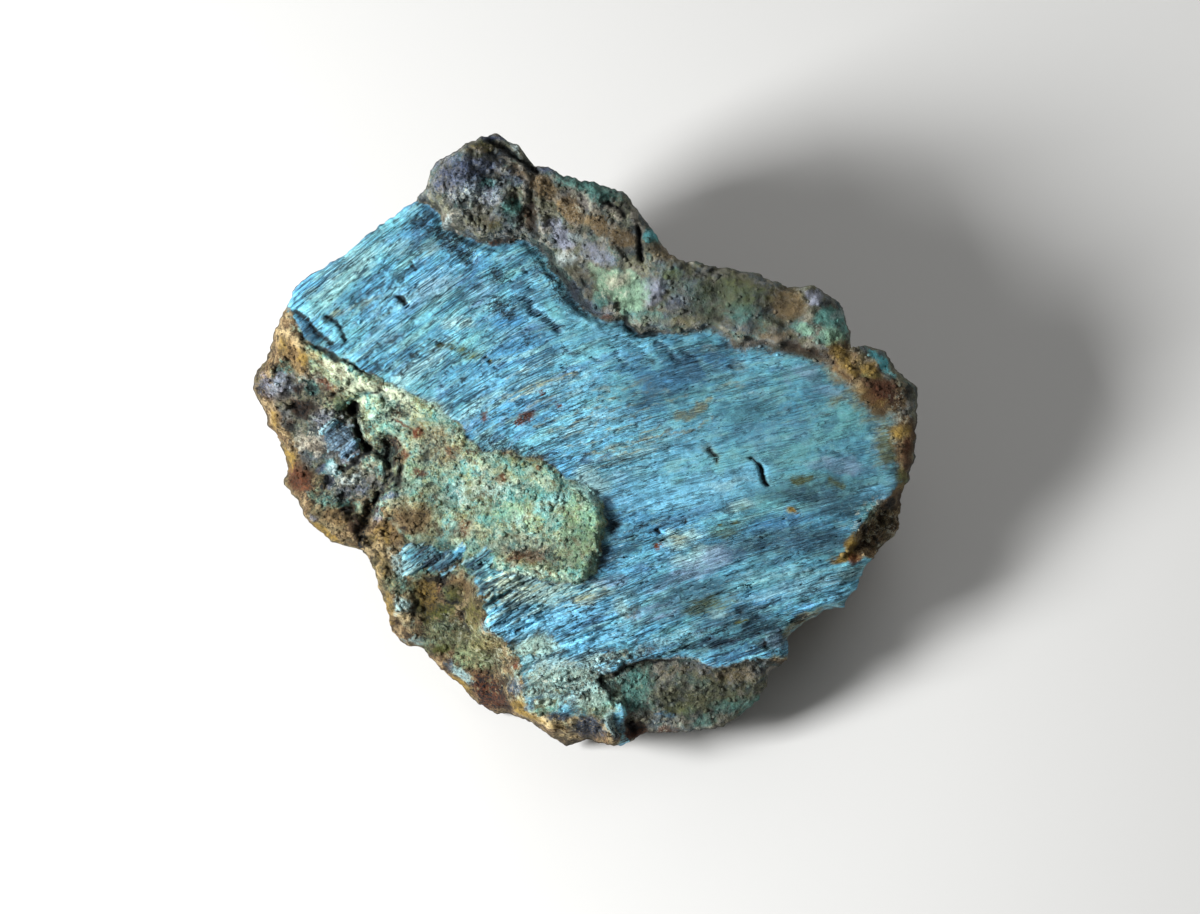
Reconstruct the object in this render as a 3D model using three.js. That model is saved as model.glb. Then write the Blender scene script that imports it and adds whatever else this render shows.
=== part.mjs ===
// A hand specimen of aerinite: one broken piece of altered rock, with a fibrous blue vein laid bare on its
// face.
//
// Millimetres, +Z up. The specimen lies on its broken underside, on the plane Z = 0, with the origin under
// the middle of its box. Its face is tilted towards -Y. The forms of the face are set out in the face's own
// frame, (u, v, w): u to the right, v up the face and w out of it, from a centre at CENTRE_HEIGHT over the
// table.

import * as THREE from "three";
import { mergeVertices } from "three/addons/utils/BufferGeometryUtils.js";

// ---- Driving dimensions -----------------------------------------------------------------------------

const FACE_TILT = THREE.MathUtils.degToRad(24); // between the face and the table
const CENTRE_HEIGHT = 20.5; // of the face's centre over the table
const MIDDLE = new THREE.Vector3(0.13, 2.88, 0); // of the specimen's box, in the frame of place()
const FACE_CELLS = 48; // cells along each side of the face's grid, a multiple of 8
const UPPER_WALL_ROWS = 3; // rows of the wall with one column for each cell round the face
const LOWER_WALL_ROWS = 11; // rows below them, with half as many columns
const RIM_ROLL = { width: 2.0, drop: 1.8 }; // rounding of the face's edge
const FOOT = { reach: 0.92, rearPull: 0.34, sink: 0.8 }; // size of the underside, as a share of the outline
const TUCK = { from: 0.7, share: 0.12 }; // how far the walls' lowest part draws in
const UNDERSIDE_RINGS = [0.8, 0.6, 0.42]; // rings that close the underside, each a share of the one before
const WALL_SWELL = { all: -1.2, rear: 4.2 }; // how far the walls bulge, and pull in where they don't
const WALL_INSET = 0.4; // the walls stay at least this far inside the outline, seen along the face's normal
const CHIP_FADE = 0.2; // share of the wall's height over which the rim's chips fade out
const LUMP_FADE = 0.25; // share of the wall's height over which its lumps grow
const TALL_WALL = 16; // a wall this high has its full bulge and lumps
const SOFT_RIM = 0.025; // share of the way round, on either side, over which the rim is averaged
const ROCK_CENTRE = new THREE.Vector3(0, 4, 12); // the walls swell away from here
const LEVEL_SWELL = 0.3; // upward share of that swelling

// How far the walls' lumps and the outline's chips stand out, with the scale per millimetre.
const WALL_LUMPS = {
  waves: [{ scale: 0.08, height: 1.5, seed: 41 }, { scale: 0.5, height: 0.5, seed: 44 }],
  facets: [
    { scale: 0.1, shift: 0.3, height: 4.5, seed: 42 },
    { scale: 0.2, shift: 0, height: 2.6, seed: 43 },
  ],
};
const CHIPS = [{ scale: 0.6, height: 0.35, seed: 31 }, { scale: 1.4, height: 0.2, seed: 32 }];
const RAGGED_EDGES = [
  { scale: 0.33, height: 0.7, seeds: [5, 7] },
  { scale: 0.9, height: 0.35, seeds: [6, 8] },
];
const EDGE_SOFTNESS = 0.1; // a zone's step starts this far outside its edge

// Outline of the face, counter-clockwise from the left-hand tip.
const OUTLINE = [
  [-33.9, 5.4], [-32.6, 3.6], [-32.2, 1.6], [-30.9, 0.0], [-30.3, -2.6], [-30.8, -4.4], [-29.3, -5.7],
  [-28.4, -7.6], [-25.6, -10.1], [-22.5, -11.0], [-21.4, -12.6], [-20.9, -14.8], [-20.1, -17.2],
  [-19.6, -19.3], [-18.2, -20.8], [-16.4, -21.1], [-14.6, -23.1], [-12.0, -25.6], [-9.6, -27.7],
  [-6.0, -28.0], [-4.4, -29.0], [-1.9, -31.0], [0.4, -30.2], [3.6, -30.6], [6.2, -29.4], [10.6, -29.1],
  [14.2, -28.8], [17.6, -26.0], [18.5, -24.6], [18.6, -23.2], [20.4, -22.0], [20.4, -19.6], [22.2, -18.0],
  [24.2, -16.9], [26.2, -16.6], [27.2, -14.8], [28.6, -12.2], [30.4, -10.7], [31.9, -8.8], [32.5, -4.4],
  [33.6, -1.4], [33.8, 5.6], [31.6, 7.6], [30.2, 9.2], [28.4, 9.8], [27.0, 9.5], [26.6, 12.0],
  [26.2, 13.6], [24.4, 14.7], [22.8, 15.7], [20.4, 15.5], [17.0, 16.8], [13.6, 17.4], [10.2, 18.0],
  [8.5, 18.8], [6.4, 21.6], [4.0, 24.9], [0.0, 26.0], [-2.6, 26.8], [-3.6, 27.6], [-4.9, 27.5],
  [-6.4, 29.6], [-8.6, 30.9], [-10.6, 30.3], [-14.2, 28.1], [-15.4, 27.2], [-15.8, 25.2], [-18.0, 23.6],
  [-21.6, 20.9], [-23.6, 19.2], [-27.0, 17.0], [-28.9, 15.6], [-29.6, 13.8], [-30.9, 12.2], [-31.5, 10.0],
  [-32.2, 8.4], [-33.2, 7.2],
];

// The vein: a plane that leans a little, with a broad swelling and edges that sink away.
const VEIN = {
  slope: [-0.05, -0.07],
  swelling: { at: [-5, 4], size: [20, 14], turn: 30, height: 1.2 },
  rightEnd: { from: 12, curve: 0.004 },
  lowEnd: { from: -14, curve: 0.006 },
};

// The fibres run along lines v = rise(u) + constant, which climb steeply at the left and flatten to the
// right.
const FIBRES = {
  flatSlope: 0.23,
  extraSlope: 0.55,
  bend: { at: -6, width: 5 },
  lowRight: { uFrom: 4, vFrom: 2, vTo: -16, slope: 0.1 },
  bundles: { across: 0.3, along: 0.05, height: 0.45 }, // low ridges of grouped fibres, per millimetre
};

const FACET_SHARPNESS = 22; // of the arrises between facets

// Broken rock round the vein: tilted facets and lumps, per millimetre and in millimetres.
const ROUGH = {
  facets: { scale: 0.3, height: 1.0 },
  lumps: { scale: 0.55, height: 0.5 },
  ridge: 1.0,
  crust: 0.6,
  blend: { from: 0.2, to: 2 },
};

// The ridge of wall rock along the top: everything above this foot line.
const RIDGE = {
  area: [
    [-40, 34], [-17.2, 24.6], [-15.0, 23.2], [-13.6, 21.2], [-11.0, 20.2], [-8.0, 19.8], [-5.4, 20.0],
    [-4.0, 19.0], [-3.0, 16.8], [-1.4, 15.2], [0.4, 13.3], [2.4, 12.0], [4.2, 12.3], [5.4, 11.0],
    [9.0, 11.0], [12.0, 11.0], [14.0, 10.1], [15.6, 9.2], [20.0, 9.4], [22.6, 8.8], [25.0, 7.4],
    [27.2, 5.2], [29.5, 3.6], [31.0, 2.4], [31.8, -1.0], [32.0, -4.0], [42, -5], [44, 40], [-40, 44],
  ],
  step: { width: 0.9, height: 1.4 }, // the ledge at its foot
  slope: { from: 0.3, width: 8.0, height: 3.4 }, // the rise behind the ledge
  fade: { from: 22, to: 30, left: 0.15 }, // it runs out towards the right-hand end
  knob: { at: [-11.5, 25.5], size: [4.2, 3.6], turn: 30, height: 1.5, blend: 1.5 },
  backSlope: { from: 25.5, to: 30.5, lean: 0.18, drop: 2.6, uFrom: -13, uTo: -8 },
  trough: { at: -0.25, width: 0.5, deep: 0.4, starts: [-18, -12], ends: [12, 16] },
};
const CRACKS = [
  { line: [[-5.4, 29.2], [-5.3, 26.6], [-5.0, 23.6], [-4.6, 20.6]], width: 0.6, deep: 0.9 },
  { line: [[5.3, 21.4], [5.2, 19.8], [5.5, 17.8]], width: 0.4, deep: 1.1 },
  { line: [[-9.6, 29.8], [-8.8, 28.9], [-6.6, 28.0], [-4.6, 27.2]], width: 0.45, deep: 1.3 },
];

// The granular crust and the matrix below it: a raised tongue, then ground that falls to the lower left.
const CRUST = {
  area: [
    [-36, 15], [-29.8, 13.6], [-29.2, 12.2], [-28.2, 10.6], [-26.4, 9.4], [-24.6, 8.4], [-22.6, 8.0],
    [-20.0, 6.4], [-17.6, 4.7], [-15.0, 3.9], [-13.2, 2.6], [-11.8, 0.6], [-10.0, -0.6], [-7.0, -0.8],
    [-4.6, -1.6], [-2.0, -3.2], [0.4, -4.3], [1.8, -6.0], [2.2, -8.2], [1.4, -11.8], [0.2, -13.9],
    [-4.0, -14.0], [-7.0, -13.1], [-8.8, -14.6], [-9.8, -16.4], [-9.4, -18.9], [-7.6, -19.8],
    [-6.6, -21.6], [-6.2, -24.0], [-5.2, -26.4], [-3.2, -27.3], [3.0, -27.0], [4, -34], [4, -44],
    [-44, -44], [-44, 15],
  ],
  lip: { width: 0.9, low: 0.35, high: 1.25, uFrom: -9, uTo: -2 }, // low at the left, high at the right
  fall: { towards: [-0.62, -0.78], from: 3.5, slope: 0.23, curveFrom: 8, curve: 0.006, blend: 3.5 },
  leftSide: { uFrom: -15, uTo: -25, vFrom: -10, vTo: -2, slope: 0.42, reach: 12 },
  lowLedge: { vFrom: -15, vTo: -19, uFrom: -3, uTo: -7, drop: 1.4, blend: 1.2 },
};
const LOBE = [
  { at: [-26.0, -2.0], size: [3.4, 4.6], turn: 20, height: 2.0 },
  { at: [-24.3, -0.4], size: [1.5, 2.0], turn: 15, height: 1.0 },
];
const CLEFT = {
  line: [
    [-23.6, 3.9], [-22.8, 2.0], [-22.0, -0.2], [-20.6, -1.4], [-19.7, -3.0], [-20.6, -5.2],
    [-21.8, -6.8], [-22.3, -8.6], [-22.4, -11.5],
  ],
  width: 0.8,
  deep: 2.2,
};
const PITS = [
  { at: [-20.0, -1.3], size: [1.6, 1.3], deep: 2.2 },
  { at: [-21.9, -7.6], size: [1.7, 1.6], deep: 1.8 },
  { at: [-28.0, 3.6], size: [1.2, 1.0], deep: 1.1 },
  { at: [-29.8, 1.4], size: [0.9, 0.9], deep: 0.9 },
  { at: [-14.2, -13.9], size: [1.1, 0.8], deep: 1.5 },
  { at: [-16.2, -16.2], size: [2.6, 1.4], deep: 1.3 },
  { at: [-12.2, -18.6], size: [0.7, 1.3], deep: 0.9 },
  { at: [-19.0, 2.6], size: [1.6, 1.0], deep: 0.5 },
  { at: [-7.2, -19.6], size: [2.0, 0.6], deep: 0.9 },
  { at: [4.8, -28.8], size: [1.6, 1.2], deep: 1.6 },
];

// A lower step of grey-green matrix at the bottom edge, and the broken cliff at the right-hand end.
const LOW_STEP = {
  area: [
    [1.6, -23.8], [4.4, -22.1], [7.5, -21.6], [10.6, -21.6], [13.2, -22.2], [17.0, -22.1], [19.4, -21.5],
    [24, -22], [22, -33], [5, -33], [3.6, -26.4], [2.2, -25.2],
  ],
  width: 0.5,
  drop: 0.9,
  slope: 0.24,
};
const CLIFF = {
  area: [
    [36, -3.6], [31.8, -4.3], [29.4, -6.2], [27.8, -8.4], [27, -10.2], [25.6, -11.9], [29, -12], [36, -13],
  ],
  width: 1.6,
  drop: 2.6,
};

// ---- Small tools ------------------------------------------------------------------------------------

const clamp01 = (x) => Math.min(1, Math.max(0, x));

// 0 before `from`, 1 after `to`, with a soft start and end. `to` may be the smaller one.
function ramp(from, to, x) {
  const t = clamp01((x - from) / (to - from));
  return t * t * (3 - 2 * t);
}

// A whole number between 0 and 2^32 that is scattered over the lattice.
function hash(i, j, k, seed) {
  let h = Math.imul(i, 374761393) + Math.imul(j, 668265263);
  h += Math.imul(k, 2246822519) + Math.imul(seed, 3266489917);
  h = Math.imul(h ^ (h >>> 15), 2246822519);
  h = Math.imul(h ^ (h >>> 13), 3266489917);
  return (h ^ (h >>> 16)) >>> 0;
}
const byte = (h, n) => (h >>> (8 * n)) & 255;

// Gradient noise at (x, y, z), about -1 to 1.
function noise(x, y, z, seed) {
  const cell = [x, y, z].map(Math.floor);
  const f = [x - cell[0], y - cell[1], z - cell[2]];
  const s = f.map((t) => t * t * t * (t * (t * 6 - 15) + 10));
  let total = 0;
  for (let corner = 0; corner < 8; corner++) {
    const c = [corner & 1, (corner >> 1) & 1, (corner >> 2) & 1];
    const h = hash(cell[0] + c[0], cell[1] + c[1], cell[2] + c[2], seed);
    let weight = 1;
    let slope = 0;
    for (let axis = 0; axis < 3; axis++) {
      weight *= c[axis] ? s[axis] : 1 - s[axis];
      slope += (byte(h, axis) / 127.5 - 1) * (f[axis] - c[axis]);
    }
    total += weight * slope;
  }
  return total * 1.3;
}

// Broken facets, about -0.5 to 0.5: each scattered point owns a tilted plane, and the nearest ones hold.
function facets(x, y, z, seed) {
  const cell = [x, y, z].map(Math.floor);
  let total = 0;
  let weights = 0;
  for (let n = 0; n < 27; n++) {
    const step = [n % 3, Math.floor(n / 3) % 3, Math.floor(n / 9)];
    const c = step.map((t, axis) => cell[axis] + t - 1);
    const h = hash(c[0], c[1], c[2], seed);
    const tilt = hash(c[0], c[1], c[2], seed + 50);
    const away = [x, y, z].map((t, axis) => t - c[axis] - byte(h, axis) / 255);
    const weight = Math.exp(-FACET_SHARPNESS * (away[0] ** 2 + away[1] ** 2 + away[2] ** 2));
    const lean = away.reduce((sum, t, axis) => sum + t * (byte(tilt, axis) / 127.5 - 1), 0);
    total += weight * (0.6 * lean + 0.5 * (byte(h, 3) / 255 - 0.5));
    weights += weight;
  }
  return total / weights;
}

// Least distance from (u, v) to the line through the points.
function lineDistance(u, v, points) {
  let least = Infinity;
  for (let i = 1; i < points.length; i++) {
    const [ax, ay] = points[i - 1];
    const [dx, dy] = [points[i][0] - ax, points[i][1] - ay];
    const t = clamp01(((u - ax) * dx + (v - ay) * dy) / (dx * dx + dy * dy));
    least = Math.min(least, Math.hypot(u - ax - t * dx, v - ay - t * dy));
  }
  return least;
}

// Distance to an area's edge, positive inside it.
function depthIn(u, v, area) {
  let inside = false;
  area.forEach(([ax, ay], i) => {
    const [bx, by] = area[(i + 1) % area.length];
    if (ay > v !== by > v && u < ((bx - ax) * (v - ay)) / (by - ay) + ax) inside = !inside;
  });
  const distance = lineDistance(u, v, [...area, area[0]]);
  return inside ? distance : -distance;
}

// A smooth hump, 1 at its middle.
function hump(u, v, { at, size, turn = 0 }) {
  const a = THREE.MathUtils.degToRad(turn);
  const x = ((u - at[0]) * Math.cos(a) + (v - at[1]) * Math.sin(a)) / size[0];
  const y = ((v - at[1]) * Math.cos(a) - (u - at[0]) * Math.sin(a)) / size[1];
  return Math.exp(-(x * x + y * y));
}

const groove = (u, v, { line, width }) => Math.exp(-((lineDistance(u, v, line) / width) ** 2));

// ---- The face ---------------------------------------------------------------------------------------

// Distance from the face's centre to the straight-sided outline, in the direction theta.
function outlineRadius(theta) {
  const [c, s] = [Math.cos(theta), Math.sin(theta)];
  let radius = 0;
  OUTLINE.forEach(([ax, ay], i) => {
    const [bx, by] = OUTLINE[(i + 1) % OUTLINE.length];
    const across = [c * ay - s * ax, c * by - s * bx];
    if (across[0] <= 0 && across[1] > 0) {
      const t = across[0] / (across[0] - across[1]);
      radius = Math.max(radius, c * (ax + t * (bx - ax)) + s * (ay + t * (by - ay)));
    }
  });
  return radius;
}

// The same with the small corners averaged away over 20 degrees each side.
function softRadius(theta) {
  const REACH = 20;
  let sum = 0;
  let weights = 0;
  for (let k = -REACH; k <= REACH; k++) {
    const weight = 1 + Math.cos((Math.PI * k) / (REACH + 1));
    sum += weight * outlineRadius(theta + THREE.MathUtils.degToRad(k));
    weights += weight;
  }
  return sum / weights;
}

// The outline with the small chips of a broken edge.
function chippedRadius(theta) {
  const radius = outlineRadius(theta);
  const [x, y] = [radius * Math.cos(theta), radius * Math.sin(theta)];
  const chip = ({ scale, height, seed }) => height * noise(scale * x, scale * y, 0, seed);
  return CHIPS.reduce((sum, size) => sum + chip(size), radius);
}

// Which fibre line (u, v) lies on, measured across the fibres.
function acrossFibres(u, v) {
  const { flatSlope, extraSlope, bend, lowRight } = FIBRES;
  const bent = bend.width * Math.log(1 + Math.exp((u - bend.at) / bend.width));
  const rise = (flatSlope + extraSlope) * u - extraSlope * bent;
  return v - rise - lowRight.slope * ramp(lowRight.vFrom, lowRight.vTo, v) * Math.max(0, u - lowRight.uFrom);
}

function veinHeight(u, v) {
  const { slope, swelling, rightEnd, lowEnd } = VEIN;
  const { across, along, height } = FIBRES.bundles;
  return (
    slope[0] * u + slope[1] * v + swelling.height * hump(u, v, swelling) -
    rightEnd.curve * Math.max(0, u - rightEnd.from) ** 2 -
    lowEnd.curve * Math.max(0, lowEnd.from - v) ** 2 +
    height * noise(across * acrossFibres(u, v), along * u, 0, 21)
  );
}

// What the ridge adds, where (u, v) is `depth` inside it.
function ridgeHeight(u, v, depth) {
  const { step, slope, fade, knob, backSlope, trough } = RIDGE;
  const ledge = step.height * ramp(-EDGE_SOFTNESS, step.width, depth);
  const rise = ledge + slope.height * ramp(slope.from, slope.width, depth);
  let height = rise * (1 - (1 - fade.left) * ramp(fade.from, fade.to, u));
  height += knob.height * hump(u, v, knob) * ramp(0, knob.blend, depth);
  if (depth > 0) {
    const behind = ramp(backSlope.from, backSlope.to, v - backSlope.lean * u);
    height -= backSlope.drop * behind * ramp(backSlope.uFrom, backSlope.uTo, u);
  }
  const along = ramp(...trough.starts, u) * (1 - ramp(...trough.ends, u));
  return height - trough.deep * along * Math.exp(-(((depth - trough.at) / trough.width) ** 2));
}

// What the crust and the matrix below it add, where (u, v) is `depth` inside them.
function crustHeight(u, v, depth) {
  const { lip, fall, leftSide, lowLedge } = CRUST;
  if (depth <= -EDGE_SOFTNESS) return 0;
  const down = fall.towards[0] * u + fall.towards[1] * v;
  const bend = fall.curve * Math.max(0, down - fall.curveFrom) ** 2;
  const drop = fall.slope * Math.max(0, down - fall.from) + bend;
  const side = ramp(leftSide.uFrom, leftSide.uTo, u) * ramp(leftSide.vFrom, leftSide.vTo, v);
  const low = ramp(lowLedge.vFrom, lowLedge.vTo, v) * ramp(lowLedge.uFrom, lowLedge.uTo, u);
  const lipHeight = lip.low + (lip.high - lip.low) * ramp(lip.uFrom, lip.uTo, u);
  return (
    lipHeight * ramp(-EDGE_SOFTNESS, lip.width, depth) -
    drop * ramp(0, fall.blend, depth) -
    side * leftSide.slope * Math.min(leftSide.reach, Math.max(0, depth)) -
    low * lowLedge.drop * ramp(0, lowLedge.blend, depth)
  );
}

function roughness(u, v, scale) {
  const { facets: broken, lumps: swells } = ROUGH;
  const facet = broken.height * facets(broken.scale * u, broken.scale * v, 0.5, 61);
  return scale * (facet + swells.height * noise(swells.scale * u, swells.scale * v, 0, 62));
}

// Height of the face over (u, v). (U, V) is the same place with every edge roughened.
function faceHeight(u, v) {
  let [U, V] = [u, v];
  for (const { scale, height, seeds } of RAGGED_EDGES) {
    U += height * noise(scale * u, scale * v, 0, seeds[0]);
    V += height * noise(scale * u, scale * v, 0, seeds[1]);
  }
  const [ridge, crust] = [depthIn(U, V, RIDGE.area), depthIn(U, V, CRUST.area)];
  let w = veinHeight(u, v) + ridgeHeight(u, v, ridge) + crustHeight(u, v, crust);
  const rocky = [ridge, crust].map((depth) => ramp(ROUGH.blend.from, ROUGH.blend.to, depth));
  w += roughness(u, v, Math.max(ROUGH.ridge * rocky[0], ROUGH.crust * rocky[1]));
  for (const crack of CRACKS) w -= crack.deep * groove(U, V, crack);
  for (const swelling of LOBE) w += swelling.height * hump(u, v, swelling);
  w -= CLEFT.deep * groove(U, V, CLEFT);
  for (const pit of PITS) w -= pit.deep * hump(U, V, pit);
  const low = depthIn(U, V, LOW_STEP.area);
  w -= LOW_STEP.drop * ramp(-EDGE_SOFTNESS, LOW_STEP.width, low) + LOW_STEP.slope * Math.max(0, low);
  return w - CLIFF.drop * ramp(-EDGE_SOFTNESS, CLIFF.width, depthIn(U, V, CLIFF.area));
}

// A point of the face's frame in the part's frame.
function place(u, v, w) {
  return new THREE.Vector3(u, v, w).applyAxisAngle(new THREE.Vector3(1, 0, 0), FACE_TILT).setZ(
    v * Math.sin(FACE_TILT) + w * Math.cos(FACE_TILT) + CENTRE_HEIGHT,
  );
}

// ---- The closed skin --------------------------------------------------------------------------------

const points = []; // of the whole skin, in the part's frame
const triangles = []; // triples of indices into points, counter-clockwise from outside

const addPoint = (point) => points.push(point) - 1;

// The face: a square grid bent smoothly onto the outline, and the points round its border.
function addFace() {
  const side = FACE_CELLS + 1;
  const border = [];
  for (let i = 0; i < side; i++) {
    for (let j = 0; j < side; j++) {
      const [a, b] = [(2 * i) / FACE_CELLS - 1, (2 * j) / FACE_CELLS - 1];
      const [x, y] = [a * Math.sqrt(1 - (b * b) / 2), b * Math.sqrt(1 - (a * a) / 2)];
      const share = Math.hypot(x, y);
      const theta = Math.atan2(y, x);
      const [soft, chipped] = [softRadius(theta), chippedRadius(theta)];
      const radius = share * (soft + (chipped - soft) * share ** 6);
      const [u, v] = [radius * Math.cos(theta), radius * Math.sin(theta)];
      const roll = clamp01(1 - ((1 - share) * chipped) / RIM_ROLL.width);
      const w = faceHeight(u, v) - RIM_ROLL.drop * (1 - Math.sqrt(1 - roll * roll));
      addPoint(place(u, v, w));
      if (share > 1 - 1e-9) border.push({ index: points.length - 1, theta, soft, u, v, w });
    }
  }
  for (let i = 0; i < FACE_CELLS; i++) {
    for (let j = 0; j < FACE_CELLS; j++) {
      const a = i * side + j;
      const [b, c, d] = [a + side, a + side + 1, a + 1];
      const alongDiagonal = (i + 0.5 - FACE_CELLS / 2) * (j + 0.5 - FACE_CELLS / 2) > 0;
      if (alongDiagonal) triangles.push([a, b, c], [a, c, d]);
      else triangles.push([a, b, d], [b, c, d]);
    }
  }
  return border.sort((p, q) => p.theta - q.theta);
}

// The border with each place averaged over a twentieth of the way round, so that chips fade down the wall.
function softened(border) {
  const reach = Math.round(border.length * SOFT_RIM);
  return border.map((_, i) => {
    const mean = new THREE.Vector3();
    let weights = 0;
    for (let k = -reach; k <= reach; k++) {
      const { u, v, w } = border[(i + k + border.length) % border.length];
      const weight = 1 + Math.cos((Math.PI * k) / (reach + 1));
      mean.add(new THREE.Vector3(u, v, w).multiplyScalar(weight));
      weights += weight;
    }
    mean.divideScalar(weights);
    return place(mean.x, mean.y, mean.z);
  });
}

// How far broken lumps stand out at a point of the wall.
function lumps({ x, y, z }) {
  let out = 0;
  for (const { scale, height, seed } of WALL_LUMPS.waves) {
    out += height * noise(scale * x, scale * y, scale * z, seed);
  }
  for (const { scale, shift, height, seed } of WALL_LUMPS.facets) {
    out += height * facets(scale * x + shift, scale * y + shift, scale * z + shift, seed);
  }
  return out;
}

// Draws a point in towards the core where it would show outside the outline.
function keepInside(point) {
  const v = point.y * Math.cos(FACE_TILT) + (point.z - CENTRE_HEIGHT) * Math.sin(FACE_TILT);
  const w = (point.z - CENTRE_HEIGHT) * Math.cos(FACE_TILT) - point.y * Math.sin(FACE_TILT);
  const limit = outlineRadius(Math.atan2(v, point.x)) - WALL_INSET;
  const excess = Math.hypot(point.x, v) / limit;
  return excess > 1 ? point.copy(place(point.x / excess, v / excess, w)) : point;
}

// One point of the wall, a share `down` of the way from the rim to the underside.
function wallPoint(corner, softTop, down) {
  const { theta, soft } = corner;
  const back = ramp(-0.15, 1, Math.sin(theta));
  const reach = (FOOT.reach - FOOT.rearPull * back) * soft;
  const v = reach * Math.sin(theta);
  const w = (-CENTRE_HEIGHT - FOOT.sink - v * Math.sin(FACE_TILT)) / Math.cos(FACE_TILT);
  const foot = place(reach * Math.cos(theta), v, w);
  const chip = points[corner.index].clone().sub(softTop).multiplyScalar(clamp01(1 - down / CHIP_FADE) ** 2);
  const point = softTop.clone().lerp(foot, down).add(chip);
  const out = point.clone().sub(ROCK_CENTRE);
  out.z *= LEVEL_SWELL;
  out.normalize();
  const rear = ramp(0, 0.8, Math.sin(theta));
  const swell = (WALL_SWELL.all + WALL_SWELL.rear * rear) * Math.sin(Math.PI * down ** 0.8);
  const relief = lumps(point) * clamp01(down / LUMP_FADE);
  point.addScaledVector(out, (swell + relief) * ramp(0, TALL_WALL, softTop.z));
  keepInside(point);
  const tuck = 1 - TUCK.share * clamp01((down - TUCK.from) / (1 - TUCK.from)) ** 2;
  point.x = ROCK_CENTRE.x + (point.x - ROCK_CENTRE.x) * tuck;
  point.y = ROCK_CENTRE.y + (point.y - ROCK_CENTRE.y) * tuck;
  point.z = Math.max(0, point.z);
  return point;
}

// Joins a ring to the next one down, which has as many points or half as many.
function joinRings(upper, lower) {
  const half = lower.length * 2 === upper.length;
  const n = lower.length;
  for (let i = 0; i < n; i++) {
    const [c, d] = [lower[i], lower[(i + 1) % n]];
    if (half) {
      const [a, middle, b] = [upper[2 * i], upper[2 * i + 1], upper[(2 * i + 2) % upper.length]];
      triangles.push([a, c, middle], [middle, c, d], [middle, d, b]);
    } else {
      const [a, b] = [upper[i], upper[(i + 1) % n]];
      triangles.push([a, c, d], [a, d, b]);
    }
  }
}

// The walls, row by row, and the flat underside inside them.
function addWallsAndUnderside(border) {
  const rows = UPPER_WALL_ROWS + LOWER_WALL_ROWS;
  const tops = softened(border);
  let ring = border.map(({ index }) => index);
  for (let row = 1; row <= rows; row++) {
    const step = row > UPPER_WALL_ROWS ? 2 : 1;
    const next = [];
    for (let i = 0; i < border.length; i += step) {
      next.push(addPoint(wallPoint(border[i], tops[i], row / rows)));
    }
    joinRings(ring, next);
    ring = next;
  }
  const middle = new THREE.Vector3();
  for (const index of ring) middle.addScaledVector(points[index], 1 / ring.length);
  middle.z = 0;
  for (const share of UNDERSIDE_RINGS) {
    const next = [];
    for (let i = 0; i < ring.length; i += 2) {
      next.push(addPoint(points[ring[i]].clone().lerp(middle, 1 - share)));
    }
    joinRings(ring, next);
    ring = next;
  }
  const centre = addPoint(middle);
  ring.forEach((index, i) => triangles.push([index, centre, ring[(i + 1) % ring.length]]));
}

function specimenGeometry() {
  addWallsAndUnderside(addFace());
  const positions = points.flatMap((point) => point.clone().sub(MIDDLE).toArray());
  const geometry = new THREE.BufferGeometry();
  geometry.setAttribute("position", new THREE.Float32BufferAttribute(positions, 3));
  geometry.setIndex(triangles.flat());
  return mergeVertices(geometry, 1e-4);
}

// ---- The part ---------------------------------------------------------------------------------------

const stone = new THREE.MeshStandardMaterial({ color: 0x6f9fae, roughness: 0.85, flatShading: true });
const specimen = new THREE.Mesh(specimenGeometry(), stone);
specimen.name = "aerinite_specimen";

const group = new THREE.Group();
group.add(specimen);
export default group;
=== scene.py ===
"""A hand specimen of aerinite: a broken piece of altered rock with a fibrous blue vein bare on its face."""

import bpy
import numpy as np
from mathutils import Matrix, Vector


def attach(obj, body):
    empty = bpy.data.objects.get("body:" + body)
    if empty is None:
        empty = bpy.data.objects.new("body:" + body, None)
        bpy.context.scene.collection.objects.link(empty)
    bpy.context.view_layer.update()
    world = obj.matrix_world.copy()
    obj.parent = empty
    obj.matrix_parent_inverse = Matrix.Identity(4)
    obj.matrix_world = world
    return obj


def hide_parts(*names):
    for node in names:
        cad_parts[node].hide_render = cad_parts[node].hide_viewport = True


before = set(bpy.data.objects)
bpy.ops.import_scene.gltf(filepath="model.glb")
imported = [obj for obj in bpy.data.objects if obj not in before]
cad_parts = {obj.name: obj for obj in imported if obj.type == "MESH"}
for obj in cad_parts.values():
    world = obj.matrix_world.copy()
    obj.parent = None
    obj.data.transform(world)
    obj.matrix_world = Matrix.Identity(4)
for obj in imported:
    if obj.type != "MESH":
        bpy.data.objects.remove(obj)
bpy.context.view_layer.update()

# ---- The specimen ----------------------------------------------------------------------------------------
# One broken piece of altered rock. Its face is a vein of blue fibres, edged by a ridge of wall rock, a
# granular green crust and rusty matrix. All of it grew together, so it is one closed skin.

# The face's own frame is (u, v, w) in millimetres: u to the right, v up the face, w out of it.
MM = 0.001  # metres
FACE_TILT = np.radians(24)
CENTRE_HEIGHT = 20.5
MIDDLE = np.array([0.13, 2.88, 0.0])  # of the solid's box, over the table
FACE_CELLS = 264
FACE_POINTS = (FACE_CELLS + 1) ** 2
ROLL_WIDTH, ROLL_DROP = 2.0, 1.8  # how the face's rim rolls over
UPPER_WALL_ROWS, LOWER_WALL_ROWS, UNDERSIDE_ROWS = 3, 42, 12
THINNED_ROWS = (1, 6, 9, 11)  # of the underside, each with half the points of the one before

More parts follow.
